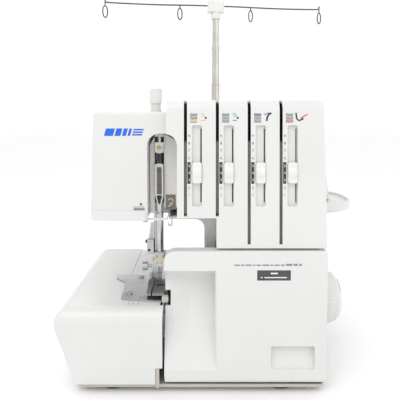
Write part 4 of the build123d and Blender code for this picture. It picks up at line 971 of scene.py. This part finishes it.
def makeSideMarks():
    side = Vector((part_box("right_cover")[1].x, datum.y, datum.z))
    plate = bmesh.new()
    y0, y1, z0, z1 = sideMarks["plate"]
    slab(plate, roundedRect(y0, y1, z0, z1, 1.5), side, backward, upward, -0.05, 0.2)
    addPiece("data_plate", "root", "label_grey", meshFrom(plate, "data_plate"))
    lines = bmesh.new()
    for row, share in enumerate(sideMarks["rows"]):
        v = z1 - 3.6 - row * sideMarks["rowStep"]
        end = y0 + 3 + (y1 - y0 - 6) * share
        slab(lines, roundedRect(y0 + 3, end, v, v + sideMarks["rowTall"], 0.3), side, backward, upward, 0.15, 0.3)
    addPiece("data_lines", "root", "ink_white", meshFrom(lines, "data_lines"))
    switchLow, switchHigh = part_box("power_switch")
    middle = (switchLow + switchHigh) / 2
    marks = bmesh.new()
    face = Vector((switchHigh.x, middle.y, middle.z))
    slab(marks, [(-0.4, 3.4), (0.4, 3.4), (0.4, 6.4), (-0.4, 6.4)], face, backward, upward, -0.9, 0.06)
    addPiece("switch_on_mark", "switch_rocker", "ink_white", meshFrom(marks, "switch_on_mark"))
    pins = bmesh.new()
    pinX, pinY, pinZ = sideMarks["pinRoot"]
    for shift in sideMarks["pins"]:
        lathe(pins, sideMarks["pinProfile"], at(pinX, pinY + shift, pinZ), right, 20)
    addPiece("inlet_pins", "root", "bushing_brass", meshFrom(pins, "inlet_pins"))


makePlateMarks()
makeFootTrim()
makeThreadDots()
makeSideMarks()
print("fittings made")

# floor, light and camera

studio = {
    "floorTone": (0.93, 0.93, 0.93),
    "floorSecond": (0.915, 0.915, 0.915),
    "floorReach": 6.0,
    "sky": (1.0, 1.0, 1.0),
    "skyPower": 1.06,
    "lamps": [
        # name, place, aimed at, size, power
        ("key", (-420, -700, 1200), (-10, 60, 120), 0.9, 3.8),
        ("fill", (820, -620, 620), (20, 60, 160), 1.0, 1.4),
        ("rim", (-250, 980, 900), (0, 100, 200), 0.9, 1.5),
    ],
}


def makeFloor():
    shape = bmesh.new()
    reach = studio["floorReach"]
    corners = [shape.verts.new((x, y, feetLow.z)) for x, y in
               ((-reach, -reach), (reach, -reach), (reach, reach), (-reach, reach))]
    shape.faces.new(corners)
    mesh = bpy.data.meshes.new("studio_floor")
    shape.to_mesh(mesh)
    shape.free()
    floor = bpy.data.objects.new("studio_floor", mesh)
    bpy.context.scene.collection.objects.link(floor)
    material, tree, shader, place = newTree("floor_paper")
    tone = spread(tree, noiseNode(tree, place, 3.0), 0.0, 1.0)
    colour = mixColour(tree, tone, studio["floorTone"], studio["floorSecond"])
    tree.links.new(colour, shader.inputs["Base Color"])
    shader.inputs["Roughness"].default_value = 0.85
    shader.inputs["Specular IOR Level"].default_value = 0.15
    mesh.materials.append(material)


def makeLights():
    world = bpy.data.worlds.new("studio")
    world.use_nodes = True
    backing = world.node_tree.nodes["Background"]
    backing.inputs["Color"].default_value = (*studio["sky"], 1.0)
    backing.inputs["Strength"].default_value = studio["skyPower"]
    bpy.context.scene.world = world
    for name, place, aim, size, power in studio["lamps"]:
        lamp = bpy.data.lights.new(name, "AREA")
        lamp.shape = "DISK"
        lamp.size = size
        lamp.energy = power
        holder = bpy.data.objects.new(name, lamp)
        holder.location = at(*place)
        holder.rotation_euler = (at(*aim) - at(*place)).to_track_quat("-Z", "Y").to_euler()
        bpy.context.scene.collection.objects.link(holder)


lookFrom = {"place": (-0.12, -434.5, 279.6), "tilt": 3.4, "lens": 40.234, "sensor": 36.0, "shift": -0.145}


def makeCamera():
    lens = bpy.data.cameras.new("view")
    lens.lens = lookFrom["lens"]
    lens.sensor_width = lookFrom["sensor"]
    lens.shift_y = lookFrom["shift"]
    lens.clip_start = 0.01
    lens.clip_end = 50
    holder = bpy.data.objects.new("view", lens)
    holder.location = at(*lookFrom["place"])
    holder.rotation_euler = (math.radians(90 - lookFrom["tilt"]), 0, 0)
    bpy.context.scene.collection.objects.link(holder)
    bpy.context.scene.camera = holder


makeFloor()
makeLights()
makeCamera()
bpy.context.scene.view_settings.view_transform = "Standard"
print("studio ready")
